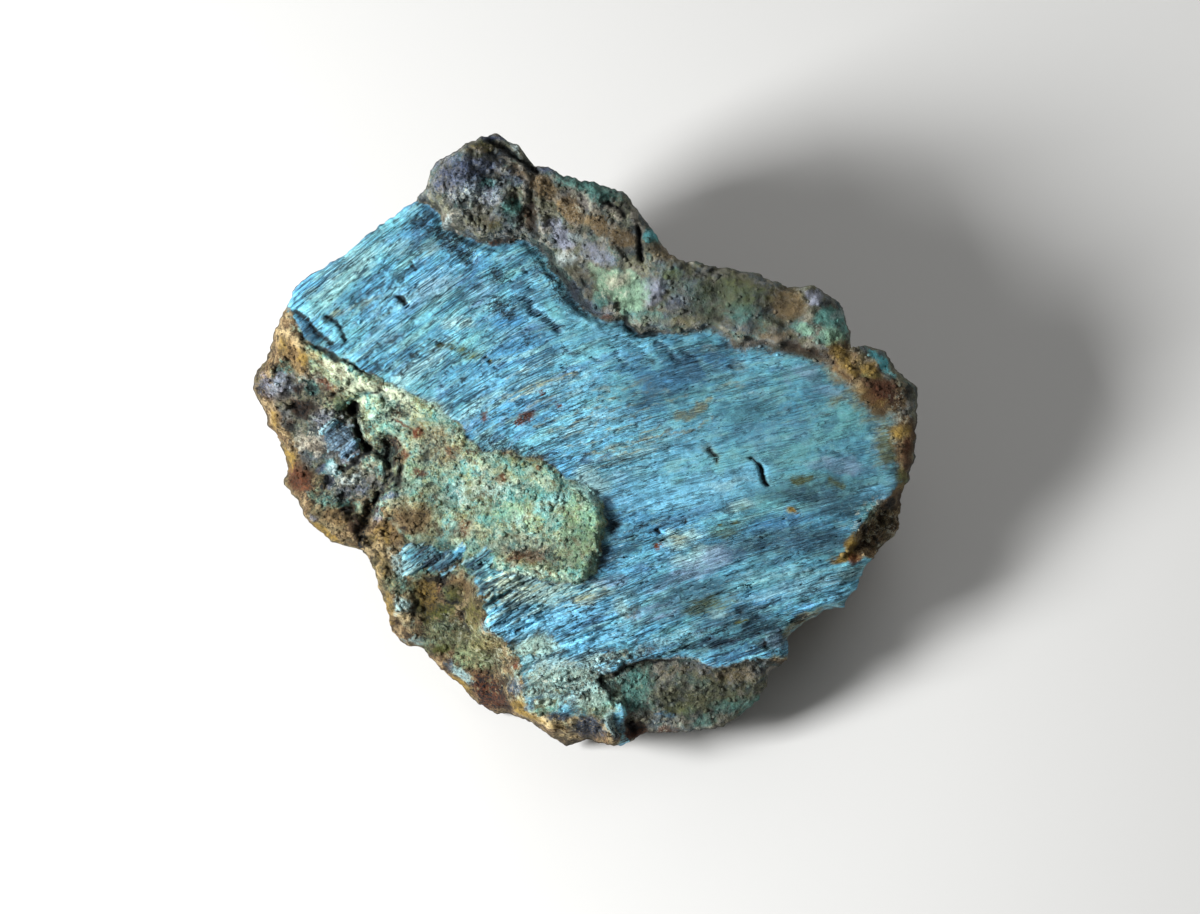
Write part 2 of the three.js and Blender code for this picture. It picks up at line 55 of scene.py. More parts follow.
OUTLINE = np.array([
    (-33.9, 5.4), (-32.6, 3.6), (-32.2, 1.6), (-30.9, 0), (-30.3, -2.6), (-30.8, -4.4), (-29.3, -5.7),
    (-28.4, -7.6), (-25.6, -10.1), (-22.5, -11), (-21.4, -12.6), (-20.9, -14.8), (-20.1, -17.2),
    (-19.6, -19.3), (-18.2, -20.8), (-16.4, -21.1), (-14.6, -23.1), (-12, -25.6), (-9.6, -27.7),
    (-6, -28), (-4.4, -29), (-1.9, -31), (0.4, -30.2), (3.6, -30.6), (6.2, -29.4), (10.6, -29.1),
    (14.2, -28.8), (17.6, -26), (18.5, -24.6), (18.6, -23.2), (20.4, -22), (20.4, -19.6), (22.2, -18),
    (24.2, -16.9), (26.2, -16.6), (27.2, -14.8), (28.6, -12.2), (30.4, -10.7), (31.9, -8.8), (32.5, -4.4),
    (33.6, -1.4), (33.8, 5.6), (31.6, 7.6), (30.2, 9.2), (28.4, 9.8), (27, 9.5), (26.6, 12), (26.2, 13.6),
    (24.4, 14.7), (22.8, 15.7), (20.4, 15.5), (17, 16.8), (13.6, 17.4), (10.2, 18), (8.5, 18.8),
    (6.4, 21.6), (4, 24.9), (0, 26), (-2.6, 26.8), (-3.6, 27.6), (-4.9, 27.5), (-6.4, 29.6), (-8.6, 30.9),
    (-10.6, 30.3), (-14.2, 28.1), (-15.4, 27.2), (-15.8, 25.2), (-18, 23.6), (-21.6, 20.9), (-23.6, 19.2),
    (-27, 17), (-28.9, 15.6), (-29.6, 13.8), (-30.9, 12.2), (-31.5, 10), (-32.2, 8.4), (-33.2, 7.2)])
RIDGE_AREA = np.array([
    (-40, 34), (-17.2, 24.6), (-15, 23.2), (-13.6, 21.2), (-11, 20.2), (-8, 19.8), (-5.4, 20), (-4, 19),
    (-3, 16.8), (-1.4, 15.2), (0.4, 13.3), (2.4, 12), (4.2, 12.3), (5.4, 11), (9, 11), (12, 11),
    (14, 10.1), (15.6, 9.2), (20, 9.4), (22.6, 8.8), (25, 7.4), (27.2, 5.2), (29.5, 3.6), (31, 2.4),
    (31.8, -1), (32, -4), (42, -5), (44, 40), (-40, 44)])
CRUST_AREA = np.array([
    (-36, 15), (-29.8, 13.6), (-29.2, 12.2), (-28.2, 10.6), (-26.4, 9.4), (-24.6, 8.4), (-22.6, 8),
    (-20, 6.4), (-17.6, 4.7), (-15, 3.9), (-13.2, 2.6), (-11.8, 0.6), (-10, -0.6), (-7, -0.8),
    (-4.6, -1.6), (-2, -3.2), (0.4, -4.3), (1.8, -6), (2.2, -8.2), (1.4, -11.8), (0.2, -13.9), (-4, -14),
    (-7, -13.1), (-8.8, -14.6), (-9.8, -16.4), (-9.4, -18.9), (-7.6, -19.8), (-6.6, -21.6), (-6.2, -24),
    (-5.2, -26.4), (-3.2, -27.3), (3, -27), (4, -34), (4, -44), (-44, -44), (-44, 15)])
LOW_STEP_AREA = np.array([
    (1.6, -23.8), (4.4, -22.1), (7.5, -21.6), (10.6, -21.6), (13.2, -22.2), (17, -22.1), (19.4, -21.5),
    (24, -22), (22, -33), (5, -33), (3.6, -26.4), (2.2, -25.2)])
CLIFF_AREA = np.array([
    (36, -3.6), (31.8, -4.3), (29.4, -6.2), (27.8, -8.4), (27, -10.2), (25.6, -11.9), (29, -12), (36, -13)])
CLEFT = [
    (-23.6, 3.9), (-22.8, 2), (-22, -0.2), (-20.6, -1.4), (-19.7, -3), (-20.6, -5.2), (-21.8, -6.8),
    (-22.3, -8.6), (-22.4, -11.5)]
# Blocks with sharp sides: corners, height, and 1 where the block is of fibres.
BLOCKS = [
    ([(-9.6, -17.4), (-9.4, -19.2), (-7.4, -18.7), (-4.9, -18), (-4.5, -16.9), (-6.5, -16.5),
      (-9, -16.2)], 0.6, 1),
    ([(-26.3, 12.4), (-25.8, 10.2), (-24.3, 9.8), (-24, 11.2), (-24.9, 12.1)], 0.35, 0),
    ([(-30.4, 13.6), (-27.2, 12.1), (-25.6, 9.8), (-26.9, 9), (-30, 11.4)], -0.5, 0),
    ([(-18.4, -11.6), (-17.4, -10.2), (-16, -10.4), (-14.6, -11), (-12.2, -10), (-12.4, -11.8),
      (-14.4, -13.4), (-16.4, -13.2), (-18.2, -13.8)], 0.3, 1),
    ([(-12.2, -12.3), (-11, -11), (-9.4, -10.8), (-9, -12.2), (-7, -13.2), (-5.6, -14.6),
      (-8.2, -15.4), (-10.2, -15.4), (-10.6, -13.8)], 0.3, 1),
    ([(-25.6, 2.4), (-23.9, 1.8), (-22.9, 0.4), (-22.9, -0.9), (-24.4, -1.7), (-25.6, -0.9),
      (-26, 0.8)], 0.7, 1)]
# Humps, and pits where the height is negative: place, half-length, half-width and height.
HUMPS = [
    (-26, -2, 3.8, 4.8, 1.9), (-23.4, 3.1, 0.9, 0.9, -1.9), (-19.9, -0.9, 1.2, 1.1, -2),
    (-21.8, -7.2, 1.1, 1.8, -1.2), (-28.2, 3.5, 1, 0.8, -1.1), (-29.6, 1.6, 0.7, 0.7, -0.9),
    (-28.7, 5.4, 0.6, 0.5, -0.5), (-30, 5, 0.4, 0.5, -0.4), (-19.3, -1.6, 0.35, 0.35, 0.9),
    (-20.5, -0.3, 0.3, 0.4, 0.7), (-18.8, 0, 0.4, 0.3, 0.5), (-27.4, 5.5, 0.6, 0.6, -0.6),
    (-23.7, -7, 0.8, 0.6, -0.8), (-26.2, -4.2, 0.6, 0.6, -0.7), (-24, -3.8, 2, 1, 0.6),
    (-22.4, 5.3, 2.2, 0.8, 0.5), (-30.2, -4, 1, 1, 0.5), (-31.6, 6.4, 1.6, 1.6, 0.5),
    (-19, -7.6, 1.8, 1.4, 0.5), (-14.1, -13.9, 0.8, 0.7, -1.3), (-13.4, -15, 0.8, 0.7, 0.5),
    (-16, -16, 1.6, 2.2, -1.4), (-12.1, -18.4, 0.6, 1.2, -0.8), (-18.9, 3, 1.2, 0.9, -0.5),
    (-7.2, -19.7, 2, 0.5, -0.4), (4.8, -28.7, 1.5, 1.1, -1.6), (-6.9, -22.4, 0.3, 0.4, -0.5),
    (-9.6, -25.6, 1.8, 1.4, 0.5), (-7.8, -26.9, 0.4, 0.7, -0.6), (-18.5, -16.6, 1, 1.1, 0.5),
    (-16.8, -20.2, 1.7, 0.6, 0.5), (6.8, 20.3, 1.2, 0.8, 0.5), (-15.6, -1.4, 0.4, 0.9, -0.4),
    (-11, -3.4, 3, 1.4, 0.4), (-6.4, -10.6, 3, 1.2, -0.35), (-4, -6.4, 3.4, 1.8, 0.4),
    (-16.2, -5.4, 1.4, 1.8, 0.4)]
# Marks along a line, by stain: its points, half-width, strength and depth.
SINGLE_STROKES = {
    # Near-black lines: cracks and slots, with painted shade in them and painted shadow under the raised
    # block and the islands.
    "black_and_shade": [
        ([(-9.4, 29.9), (-8, 28.9), (-6, 28), (-4.4, 26.9)], 0.36, 0.6, 0.9),
        ([(-5.4, 29.2), (-5.3, 26.6), (-5, 23.6), (-4.6, 20.6)], 0.45, 0.3, 0.7),
        ([(5.3, 21.4), (5.2, 19.8), (5.5, 18.2)], 0.26, 0.8, 0.8),
        ([(2.4, 23.9), (3.8, 22.4)], 0.25, 0.7, 0.4),
        ([(-3.6, 19.3), (-3, 17.5), (-2.2, 16.3), (-1, 15.1), (0.5, 13.8)], 0.26, 0.6, 0.2),
        ([(-4.6, 17), (-3.2, 16.2)], 0.25, 0.7, 0.2),
        ([(4, 12.5), (4.7, 11.5), (5.6, 10.9), (7.2, 10.8)], 0.28, 0.85, 0.3),
        ([(-29, 12.8), (-27.6, 12.1), (-26.6, 11.2), (-26, 10.4), (-25.3, 9.8)], 0.24, 1, 0.5),
        ([(-25.8, 12.6), (-25, 12.1), (-24.6, 11.5), (-24.1, 10.3)], 0.18, 0.9, 0.35),
        ([(-26.8, 9.6), (-25.6, 8.8), (-24.3, 8.1), (-23.2, 7.9), (-22.2, 7.5),
          (-21.2, 6.9)], 0.22, 0.9, 0.4),
        ([(-26.3, 11), (-25.5, 11.5)], 0.1, 0.7, 0.1),
        ([(-18.4, 14.5), (-17.9, 14), (-17.4, 13.3)], 0.26, 1, 0.5),
        ([(-17.2, 18.1), (-17, 17.3)], 0.14, 0.8, 0.2),
        ([(-15.6, 10.2), (-14.4, 9.7), (-13.6, 9.5)], 0.16, 0.7, 0.2),
        ([(-10.2, 8.3), (-9, 7.4)], 0.15, 0.8, 0.2),
        ([(-18.6, 6.7), (-17.6, 7.9), (-16.2, 9.3)], 0.13, 0.8, 0.15),
        ([(-13.8, 4.5), (-12.8, 5.4), (-11.6, 6.6)], 0.13, 0.8, 0.15),
        ([(-21.6, 8.4), (-19.9, 9.8), (-18.2, 11), (-16.8, 11.9)], 0.13, 0.7, 0.15),
        ([(-19.6, 15.6), (-17.4, 17.9), (-16.2, 18.9)], 0.12, 0.7, 0.15),
        ([(-21.6, 15.9), (-19.2, 18.4)], 0.12, 0.6, 0.15),
        ([(-15.4, 8.4), (-13.2, 10.6), (-11.4, 12)], 0.12, 0.5, 0.1),
        ([(-24.2, 9.2), (-21.6, 11.4), (-20.2, 12.4)], 0.12, 0.6, 0.15),
        ([(12.2, -0.4), (12.4, -0.9)], 0.12, 0.7, 0.2),
        ([(12.4, -0.9), (12.8, -1.4)], 0.2, 0.8, 0.35),
        ([(16.4, -1.8), (17.2, -2.4), (17.6, -2.9)], 0.12, 0.9, 0.4),
        ([(17.4, -2.7), (18, -3.4), (18.6, -4.1)], 0.2, 1, 0.8),
        ([(7.6, -8.7), (8, -9.6)], 0.2, 1, 0.5),
        ([(10, -7.7), (10.3, -8.3)], 0.16, 0.9, 0.3),
        ([(2.4, -8.9), (3.4, -8.2)], 0.3, 0.6, 0.3),
        ([(1.7, -23.8), (2.2, -24.8), (2.6, -25.6), (3.6, -26.3)], 0.15, 0.8, 0.4),
        ([(1.8, -23.8), (2.9, -23.1), (4.3, -22.4), (6.4, -21.9), (8.6, -21.9)], 0.22, 0.8, 0.5),
        ([(-1.9, -25), (-2, -26.8)], 0.1, 0.7, 0.2),
        ([(-9.5, -19.4), (-8, -19.1), (-6.2, -18.4), (-4.8, -18.2)], 0.14, 0.8, 0.3),
        ([(-1.5, -19.9), (0.6, -19.1)], 0.1, 0.7, 0.2),
        ([(18, -20), (18.5, -20.5), (19.4, -20.7)], 0.12, 0.8, 0.15),
        ([(12.6, -24.6), (12.5, -25.5)], 0.14, 0.6, 0.3),
        ([(-22.5, 4.5), (-21.2, 4.7), (-20, 5.1)], 0.08, 0.8, 0.25),
        ([(-22.8, 1.6), (-22.3, 0.4), (-22.2, -0.8), (-22.9, -1.7), (-24.4, -2.7)], 0.25, 0.9, 0.6),
        ([(-18.4, -1.6), (-18.5, -3.9), (-20, -5), (-21.4, -6)], 0.26, 0.8, 0.7),
        ([(-21.6, -6.2), (-21.9, -7.6), (-22.1, -9)], 0.6, 0.4, 0.4),
        ([(-15.8, -14), (-14.2, -13.7), (-12.8, -13.2)], 0.24, 0.7, 0.4),
        ([(-17.3, -15), (-17.2, -17.6)], 0.3, 0.5, 0.3),
        ([(-15.8, -13), (-14.4, -11.8), (-13, -10.8)], 0.13, 0.8, 0.2),
        ([(-12.3, -17.4), (-11.9, -18.4), (-11.7, -19.3)], 0.25, 0.7, 0.5),
        ([(-14, -15.7), (-12.8, -15.9)], 0.2, 0.9, 0.4),
        ([(-2, -3.8), (-2.4, -5.2), (-3, -7)], 0.16, 0.6, 0.3)],
    # Dark navy streaks in the vein, darkest along the grooves they cut, where they are painted shade.
    "navy_and_shade": [
        ([(-14.4, 20.5), (-13, 19.4), (-11.2, 18.3)], 0.4, 0.6, 0.2),
        ([(-17, 21.9), (-15.6, 22.6)], 0.35, 0.9, 0.1),
        ([(-6.4, 17.9), (-5.9, 17.1)], 0.2, 0.9, 0.2),
        ([(-5.7, 15.1), (-5.1, 14.8)], 0.18, 0.9, 0.2),
        ([(-6, 14.3), (-5, 13), (-4, 12.2), (-2.2, 11.3)], 0.32, 0.9, 0.35),
        ([(-3.2, 12), (-1.6, 11.6)], 0.16, 0.8, 0.15),
        ([(-2, 9.9), (-1.2, 9.1), (-0.4, 8.8)], 0.24, 0.8, 0.2),
        ([(0.3, 8.6), (1.4, 8)], 0.18, 0.8, 0.2),
        ([(-2.5, 8.1), (-1.5, 7.2)], 0.18, 0.8, 0.2),
        ([(2.3, 9.4), (3.4, 8.8), (4.3, 8.1)], 0.22, 0.7, 0.2),
        ([(4.9, 9.5), (6.4, 8.6)], 0.22, 0.7, 0.2),
        ([(7.4, 9.9), (8.4, 9), (9.2, 8.2)], 0.38, 0.9, 0.3),
        ([(10, 9.3), (10.8, 8.6), (11.6, 8.2)], 0.32, 0.8, 0.2),
        ([(8.4, 4.6), (10.2, 5.3)], 0.22, 0.7, 0.1),
        ([(2.8, -8.7), (5, -7.2), (8, -6)], 0.13, 0.7, 0.15),
        ([(3, -9), (6.4, -7.9), (10.2, -7.6)], 0.13, 0.6, 0.15),
        ([(5.6, -13.6), (7.2, -12.6)], 0.13, 0.7, 0.1),
        ([(14.8, -17.1), (17, -16.7), (19.6, -15.8)], 0.17, 0.8, 0.2),
        ([(11.6, -20.3), (14, -20), (17.6, -19.4)], 0.22, 0.8, 0.25),
        ([(23.4, -0.7), (25.4, -1), (27.2, -1.9)], 0.15, 0.6, 0.1),
        ([(19.6, -6.1), (22, -5.9), (23.8, -5.2)], 0.2, 0.6, 0.15)],
    "olive": [
        ([(-14.6, 9.7), (-12, 9), (-9.6, 8)], 0.22, 0.75, 0.12),
        ([(12, -0.5), (13, -1.7)], 0.5, 0.5, 0),
        ([(20.7, -3.9), (23, -3.6)], 0.4, 0.8, 0),
        ([(24.8, -3.9), (26.2, -4.6)], 0.4, 0.7, 0)],
    "tan": [
        ([(0.5, -1.5), (4, -0.3), (8.2, 0.8), (13, 2.5)], 0.15, 0.8, -0.1),
        ([(0.2, -3.2), (4.5, -1.6), (9.5, -0.2)], 0.13, 0.5, -0.1),
        ([(-8.2, 4.4), (-5, 5.6), (-1, 7)], 0.22, 0.7, 0),
        ([(-7.6, 6.4), (-4, 7.8)], 0.15, 0.5, 0),
        ([(-4.2, -16.3), (-2, -15.8)], 0.14, 0.8, 0),
        ([(-9.4, -13.9), (-7.6, -13.2)], 0.15, 0.7, 0),
        ([(9.3, 2.6), (11, 3.1), (12.4, 3.9)], 0.4, 0.9, 0)],
    "brown": [
        ([(14.3, 9.5), (17, 9.8), (21, 9.7), (24, 8.8), (26, 7.4), (27.2, 6)], 0.4, 0.55, 0.2),
        ([(1.2, -1.8), (4.2, -0.6), (8.2, 0.35)], 0.1, 0.6, 0.05),
        ([(-9.8, 20.1), (-7.2, 20.1)], 0.2, 0.8, 0.1)],
    "rust": [
        ([(-18.8, 2.4), (-17.6, 1.6), (-16.6, 0.9)], 0.13, 0.8, 0.1)]}
# Rows of like marks: stain, the first ends, the step to the next, count, half-width, strength, depth.
ROWS = [
    ("black_and_shade", (-10.4, -13.4), (-7, -12.5), (0.3, -0.55), 5, 0.12, 0.6, 0.2),
    ("navy_and_shade", (-9.2, -16.9), (-5, -15.9), (0.05, -0.5), 4, 0.11, 0.5, 0.12),
    ("black_and_shade", (-25.8, -0.6), (-24.6, 1.6), (0.42, -0.12), 5, 0.11, 0.6, 0.15),
    ("tan", (-5, 1.6), (3, 4.6), (1.3, -0.75), 6, 0.12, 0.7, 0),
    ("tan", (0.6, 4.7), (5.6, 6.2), (1.6, -0.5), 4, 0.13, 0.6, 0),
    ("brown", (14, 4.4), (18, 5.6), (2.2, -0.9), 4, 0.16, 0.45, 0),
    ("cream", (-10.3, -13.7), (-6.8, -12.8), (0.3, -0.55), 5, 0.13, 0.8, -0.1),
    ("black_and_shade", (-24, 6.6), (-20.6, 9.6), (0.9, -0.3), 5, 0.1, 0.6, 0.12),
    ("black_and_shade", (-22.8, 14.6), (-18.6, 18.2), (0.5, -0.7), 5, 0.1, 0.55, 0.12),
    ("black_and_shade", (-19.4, 7.2), (-16.4, 9.8), (1.5, -0.5), 4, 0.1, 0.55, 0.12)]


def with_rows(strokes, rows):
    """The strokes with each row's marks at the end of their stain's list."""
    strokes = {name: list(marks) for name, marks in strokes.items()}
    for name, start, end, step, count, width, strength, depth in rows:
        for k in range(count):
            ends = [(u + k * step[0], v + k * step[1]) for u, v in (start, end)]
            strokes.setdefault(name, []).append((ends, width, strength, depth))
    return strokes


STROKES = with_rows(SINGLE_STROKES, ROWS)


def ramp(start, end, x):
    """0 before start, 1 after end, and 3t^2 - 2t^3 of the share t of the way between."""
    t = np.clip((x - start) / (end - start), 0, 1)
    return t * t * (3 - 2 * t)


def scatter(i, j, k, seed):
    """A whole number under 2^32 for each lattice point: its coordinates times large primes, with bits
    mixed."""
    word = np.uint32
    with np.errstate(over="ignore"):
        h = i.astype(word) * word(374761393) + j.astype(word) * word(668265263)
        h = h + k.astype(word) * word(2246822519) + word(seed * 3266489917 & 0xFFFFFFFF)
        h = (h ^ (h >> word(15))) * word(2246822519)
        h = (h ^ (h >> word(13))) * word(3266489917)
        return h ^ (h >> word(16))


def noise(p, seed):
    """Gradient noise, about -1 to 1: a random slope at each lattice corner, blended by 6t^5 - 15t^4 +
    10t^3."""
    cell = np.floor(p)
    f = p - cell
    cell = cell.astype(np.int64)
    s = f ** 3 * (f * (f * 6 - 15) + 10)
    total = 0
    for corner in np.ndindex(2, 2, 2):
        h = scatter(cell[..., 0] + corner[0], cell[..., 1] + corner[1], cell[..., 2] + corner[2], seed)
        weight, slope = 1, 0
        for axis, c in enumerate(corner):
            weight = weight * (s[..., axis] if c else 1 - s[..., axis])
            slope = slope + (((h >> (8 * axis)) & 255) / 127.5 - 1) * (f[..., axis] - c)
        total = total + weight * slope
    return total * 1.3


def facets(p, seed, sharpness=22):
    """Broken facets, about -0.5 to 0.5: each scattered point owns a tilted plane, and the planes are mixed
    by exp(-sharpness * squared distance), so that the nearest one holds up to a narrow arris."""
    cell = np.floor(p).astype(np.int64)
    total, weights = 0, 0
    for step in np.ndindex(3, 3, 3):
        c = cell + np.array(step) - 1
        h = scatter(c[..., 0], c[..., 1], c[..., 2], seed)
        tilt = scatter(c[..., 0], c[..., 1], c[..., 2], seed + 50)
        lean, distance = 0, 0
        for axis in range(3):
            away = p[..., axis] - c[..., axis] - ((h >> (8 * axis)) & 255) / 255
            lean = lean + away * (((tilt >> (8 * axis)) & 255) / 127.5 - 1)
            distance = distance + away * away
        weight = np.exp(-sharpness * distance)
        total = total + weight * (0.6 * lean + 0.5 * ((h >> 24) / 255 - 0.5))
        weights = weights + weight
    return total / np.maximum(weights, 1e-12)


def line_distance(u, v, points):
    """Least distance to the line through the points: to each stretch's nearest point, and the least of
    those."""
    least = np.full(np.shape(u), 1e9)
    for (ax, ay), (bx, by) in zip(points[:-1], points[1:]):
        dx, dy = bx - ax, by - ay
        t = np.clip(((u - ax) * dx + (v - ay) * dy) / (dx * dx + dy * dy), 0, 1)
        least = np.minimum(least, np.hypot(u - ax - t * dx, v - ay - t * dy))
    return least


def depth_in(u, v, area):
    """Distance to an area's edge, positive inside it, where a level line crosses the edge an odd number of
    times."""
    inside = np.zeros(np.shape(u), bool)
    for (ax, ay), (bx, by) in zip(area, np.roll(area, -1, 0)):
        if ay != by:
            inside ^= ((ay > v) != (by > v)) & (u < (bx - ax) * (v - ay) / (by - ay) + ax)
    distance = line_distance(u, v, np.vstack([area, area[:1]]))
    return np.where(inside, distance, -distance)


def in_ellipse(u, v, at, size, turn=0.0):
    """Distances from an ellipse's centre along its turned axes, as shares of its half-sizes."""
    a = np.radians(turn)
    x = ((u - at[0]) * np.cos(a) + (v - at[1]) * np.sin(a)) / size[0]
    y = ((v - at[1]) * np.cos(a) - (u - at[0]) * np.sin(a)) / size[1]
    return x, y


def hump(u, v, at, size, turn=0.0):
    """exp(-(x^2 + y^2)), with x and y the shares of the ellipse's half-sizes."""
    x, y = in_ellipse(u, v, at, size, turn)
    return np.exp(-(x * x + y * y))


def plane_point(u, v, depth=0.0):
    """Points for the noises from (u, v), all at one depth."""
    return np.stack([u, v, np.full(np.shape(u), depth)], -1)


def outline_radius(theta):
    """Distance from the face's centre to the outline: where the ray meets the side whose ends lie either
    side."""
    angles = np.arctan2(OUTLINE[:, 1], OUTLINE[:, 0])
    order = np.argsort(angles)
    corners = OUTLINE[order]
    k = np.searchsorted(angles[order], theta) % len(corners)
    a, b = corners[k - 1], corners[k]
    side = b - a
    return (a[..., 0] * side[..., 1] - a[..., 1] * side[..., 0]) / (
        np.cos(theta) * side[..., 1] - np.sin(theta) * side[..., 0])


def soft_radius(theta):
    """The outline's radius averaged over 20 degrees each side, with weights 1 + cos."""
    reach = 20
    steps = np.arange(-reach, reach + 1)
    weights = 1 + np.cos(np.pi * steps / (reach + 1))
    wrapped = [(theta + np.radians(k) + np.pi) % (2 * np.pi) - np.pi for k in steps]
    return sum(w * outline_radius(t) for w, t in zip(weights, wrapped)) / weights.sum()


def chipped_radius(theta):
    """The outline's radius with three sizes of chips in it."""
    radius = outline_radius(theta)
    p = plane_point(radius * np.cos(theta), radius * np.sin(theta))
    return radius + 0.35 * noise(0.6 * p, 31) + 0.2 * noise(1.4 * p, 32) + 0.12 * noise(3.1 * p, 33)


def across_fibres(u, v):
    """Which fibre (u, v) lies on: v less the fibres' rise, whose slope falls from 0.78 at the left to
    0.23."""
    bent = 5 * np.logaddexp(0, (u + 6) / 5)
    rise = 0.78 * u - 0.55 * bent
    return v - rise - 0.1 * ramp(2, -16, v) * np.maximum(0, u - 4)


def along_fibres(u, v):
    """Rough distance along the fibres."""
    return 1.05 * u + 0.4 * v


def vein_plane(u, v):
    """The vein without its fibres: a leaning plane with a broad swelling, sunk at the right and the
    bottom."""
    w = -0.05 * u - 0.07 * v + 1.2 * hump(u, v, (-5, 4), (20, 14), 30)
    return w - 0.004 * np.maximum(0, u - 12) ** 2 - 0.006 * np.maximum(0, -14 - v) ** 2


def fibre_relief(u, v):
    """Low ridges of grouped fibres, and over them splinters: facets stretched along the fibres, at two
    sizes, and fine threads."""
    n, t = across_fibres(u, v), along_fibres(u, v)
    w = 0.45 * noise(np.stack([0.3 * n, 0.05 * u, 0 * u], -1), 21)
    n = n + 0.25 * noise(np.stack([0.25 * t, 0.8 * n, 0 * u], -1), 22)
    steps = (0.4 + 0.6 * ramp(-6, -15, v)) * (1 - 0.5 * ramp(2, 10, u) * ramp(-10, -4, v))
    for height, length_scale, width_scale, seed in ((0.62, 0.13, 0.62, 23), (0.34, 0.25, 1.4, 24)):
        splinters = np.stack([length_scale * t, width_scale * n, 0 * u + 0.5], -1)
        w = w + height * steps * facets(splinters, seed, 30)
    return w + 0.07 * noise(np.stack([0.5 * t, 2.6 * n, 0 * u], -1), 25)


def ridge_height(u, v, depth):
    """The ridge of wall rock: a ledge, the rise behind it, a knob, a back slope and the trough at its
    foot."""
    w = 1.4 * ramp(-0.1, 0.9, depth) + 3.4 * ramp(0.3, 8.0, depth)
    w = w * (1 - 0.85 * ramp(22, 30, u))
    w = w + 1.5 * hump(u, v, (-11.5, 25.5), (4.2, 3.6), 30) * ramp(0, 1.5, depth)
    w = w - 2.6 * ramp(25.5, 30.5, v - 0.18 * u) * ramp(-13, -8, u) * (depth > 0)
    return w - 0.4 * ramp(-18, -12, u) * (1 - ramp(12, 16, u)) * np.exp(-((depth + 0.25) / 0.5) ** 2)


def crust_height(u, v, depth):
    """The crust and the matrix below it: a raised lip, then ground that falls to the lower left."""
    down = -0.62 * u - 0.78 * v
    drop = 0.23 * np.maximum(0, down - 3.5) + 0.006 * np.maximum(0, down - 8) ** 2
    side = ramp(-15, -25, u) * ramp(-10, -2, v)
    low = ramp(-15, -19, v) * ramp(-3, -7, u)
    lip = 0.35 + 0.9 * ramp(-9, -2, u) * ramp(-3, -7.5, v)
    w = lip * ramp(-0.1, 0.9, depth) - drop * ramp(0, 3.5, depth)
    w = w - side * 0.42 * np.clip(depth, 0, 12) - low * 1.4 * ramp(0, 1.2, depth)
    return w * (depth > -0.1)


def rough_rock(u, v, zones):
    """Broken rock: facets and lumps 3 mm and 2 mm wide, and finer ones of 1.2 mm and 0.6 mm. The knob, the
    lobe and the cliff are rough, and the crust's tongue and the ridge's right half are smooth."""
    p = plane_point(u, v)
    ridge, crust = ramp(0.2, 2, zones["ridge"]), ramp(0.1, 1.5, zones["crust"])
    low, cliff = ramp(0, 1, zones["low"]), ramp(0, 1, zones["cliff"])
    left, knob = ramp(-15, -20, u), ramp(4, -5, u)
    coarse = np.maximum.reduce([ridge * (0.55 + 0.45 * knob), crust * (0.3 + 0.7 * left), 0.4 * low, cliff])
    fine = np.maximum.reduce([ridge * (0.3 + 0.6 * knob), crust * (0.3 + 0.6 * left), 0.4 * low, cliff])
    return (coarse * (1.0 * facets(0.3 * p + [0, 0, 0.5], 61) + 0.5 * noise(0.55 * p, 62))
            + fine * (0.7 * facets(0.8 * p, 63) + 0.4 * facets(1.7 * p, 64) + 0.22 * noise(2.4 * p, 65)))


def face_zones(u, v):
    """Each place moved by noise, to roughen what is drawn there, and its depth inside each zone of the
    face."""
    p = plane_point(u, v)
    U = u + 0.7 * noise(0.33 * p, 5) + 0.35 * noise(0.9 * p, 6) + 0.12 * noise(2.3 * p, 9)
    V = v + 0.7 * noise(0.33 * p, 7) + 0.35 * noise(0.9 * p, 8) + 0.12 * noise(2.3 * p, 10)
    zones = {name: depth_in(U, V, area) for name, area in (
        ("ridge", RIDGE_AREA), ("crust", CRUST_AREA), ("low", LOW_STEP_AREA), ("cliff", CLIFF_AREA))}
    return U, V, zones


def comb(u, v):
    """The split fibres of the blocks, about -1 to 1: noise drawn out along the fibres."""
    return noise(np.stack([0.16 * along_fibres(u, v), 1.8 * across_fibres(u, v), 0 * u], -1), 68)


def block_depth(u, v, corners, fibrous):
    """Depth inside a block, whose ends are splintered where it is made of fibres."""
    return depth_in(u, v, np.array(corners)) + 0.9 * fibrous * comb(u, v)


def fibrous_blocks(u, v, blur):
    """Where the blocks of fibres are, with their edges moved by blur."""
    return np.maximum.reduce([ramp(-0.25, 0.25, block_depth(u, v, corners, 1) + blur)
                              for corners, _, fibrous in BLOCKS if fibrous])


def jag(u, v):
    """How far a mark along a line strays from it."""
    p = plane_point(u, v)
    return 0.3 * noise(1.1 * p, 66) + 0.15 * noise(2.9 * p, 67)


def cleft_share(u, v, stray, width):
    """exp(-x^2), with x the distance to the cleft's jagged line as a share of its half-width."""
    return np.exp(-(line_distance(u + 1.8 * stray, v - 1.8 * stray, CLEFT) / width) ** 2)


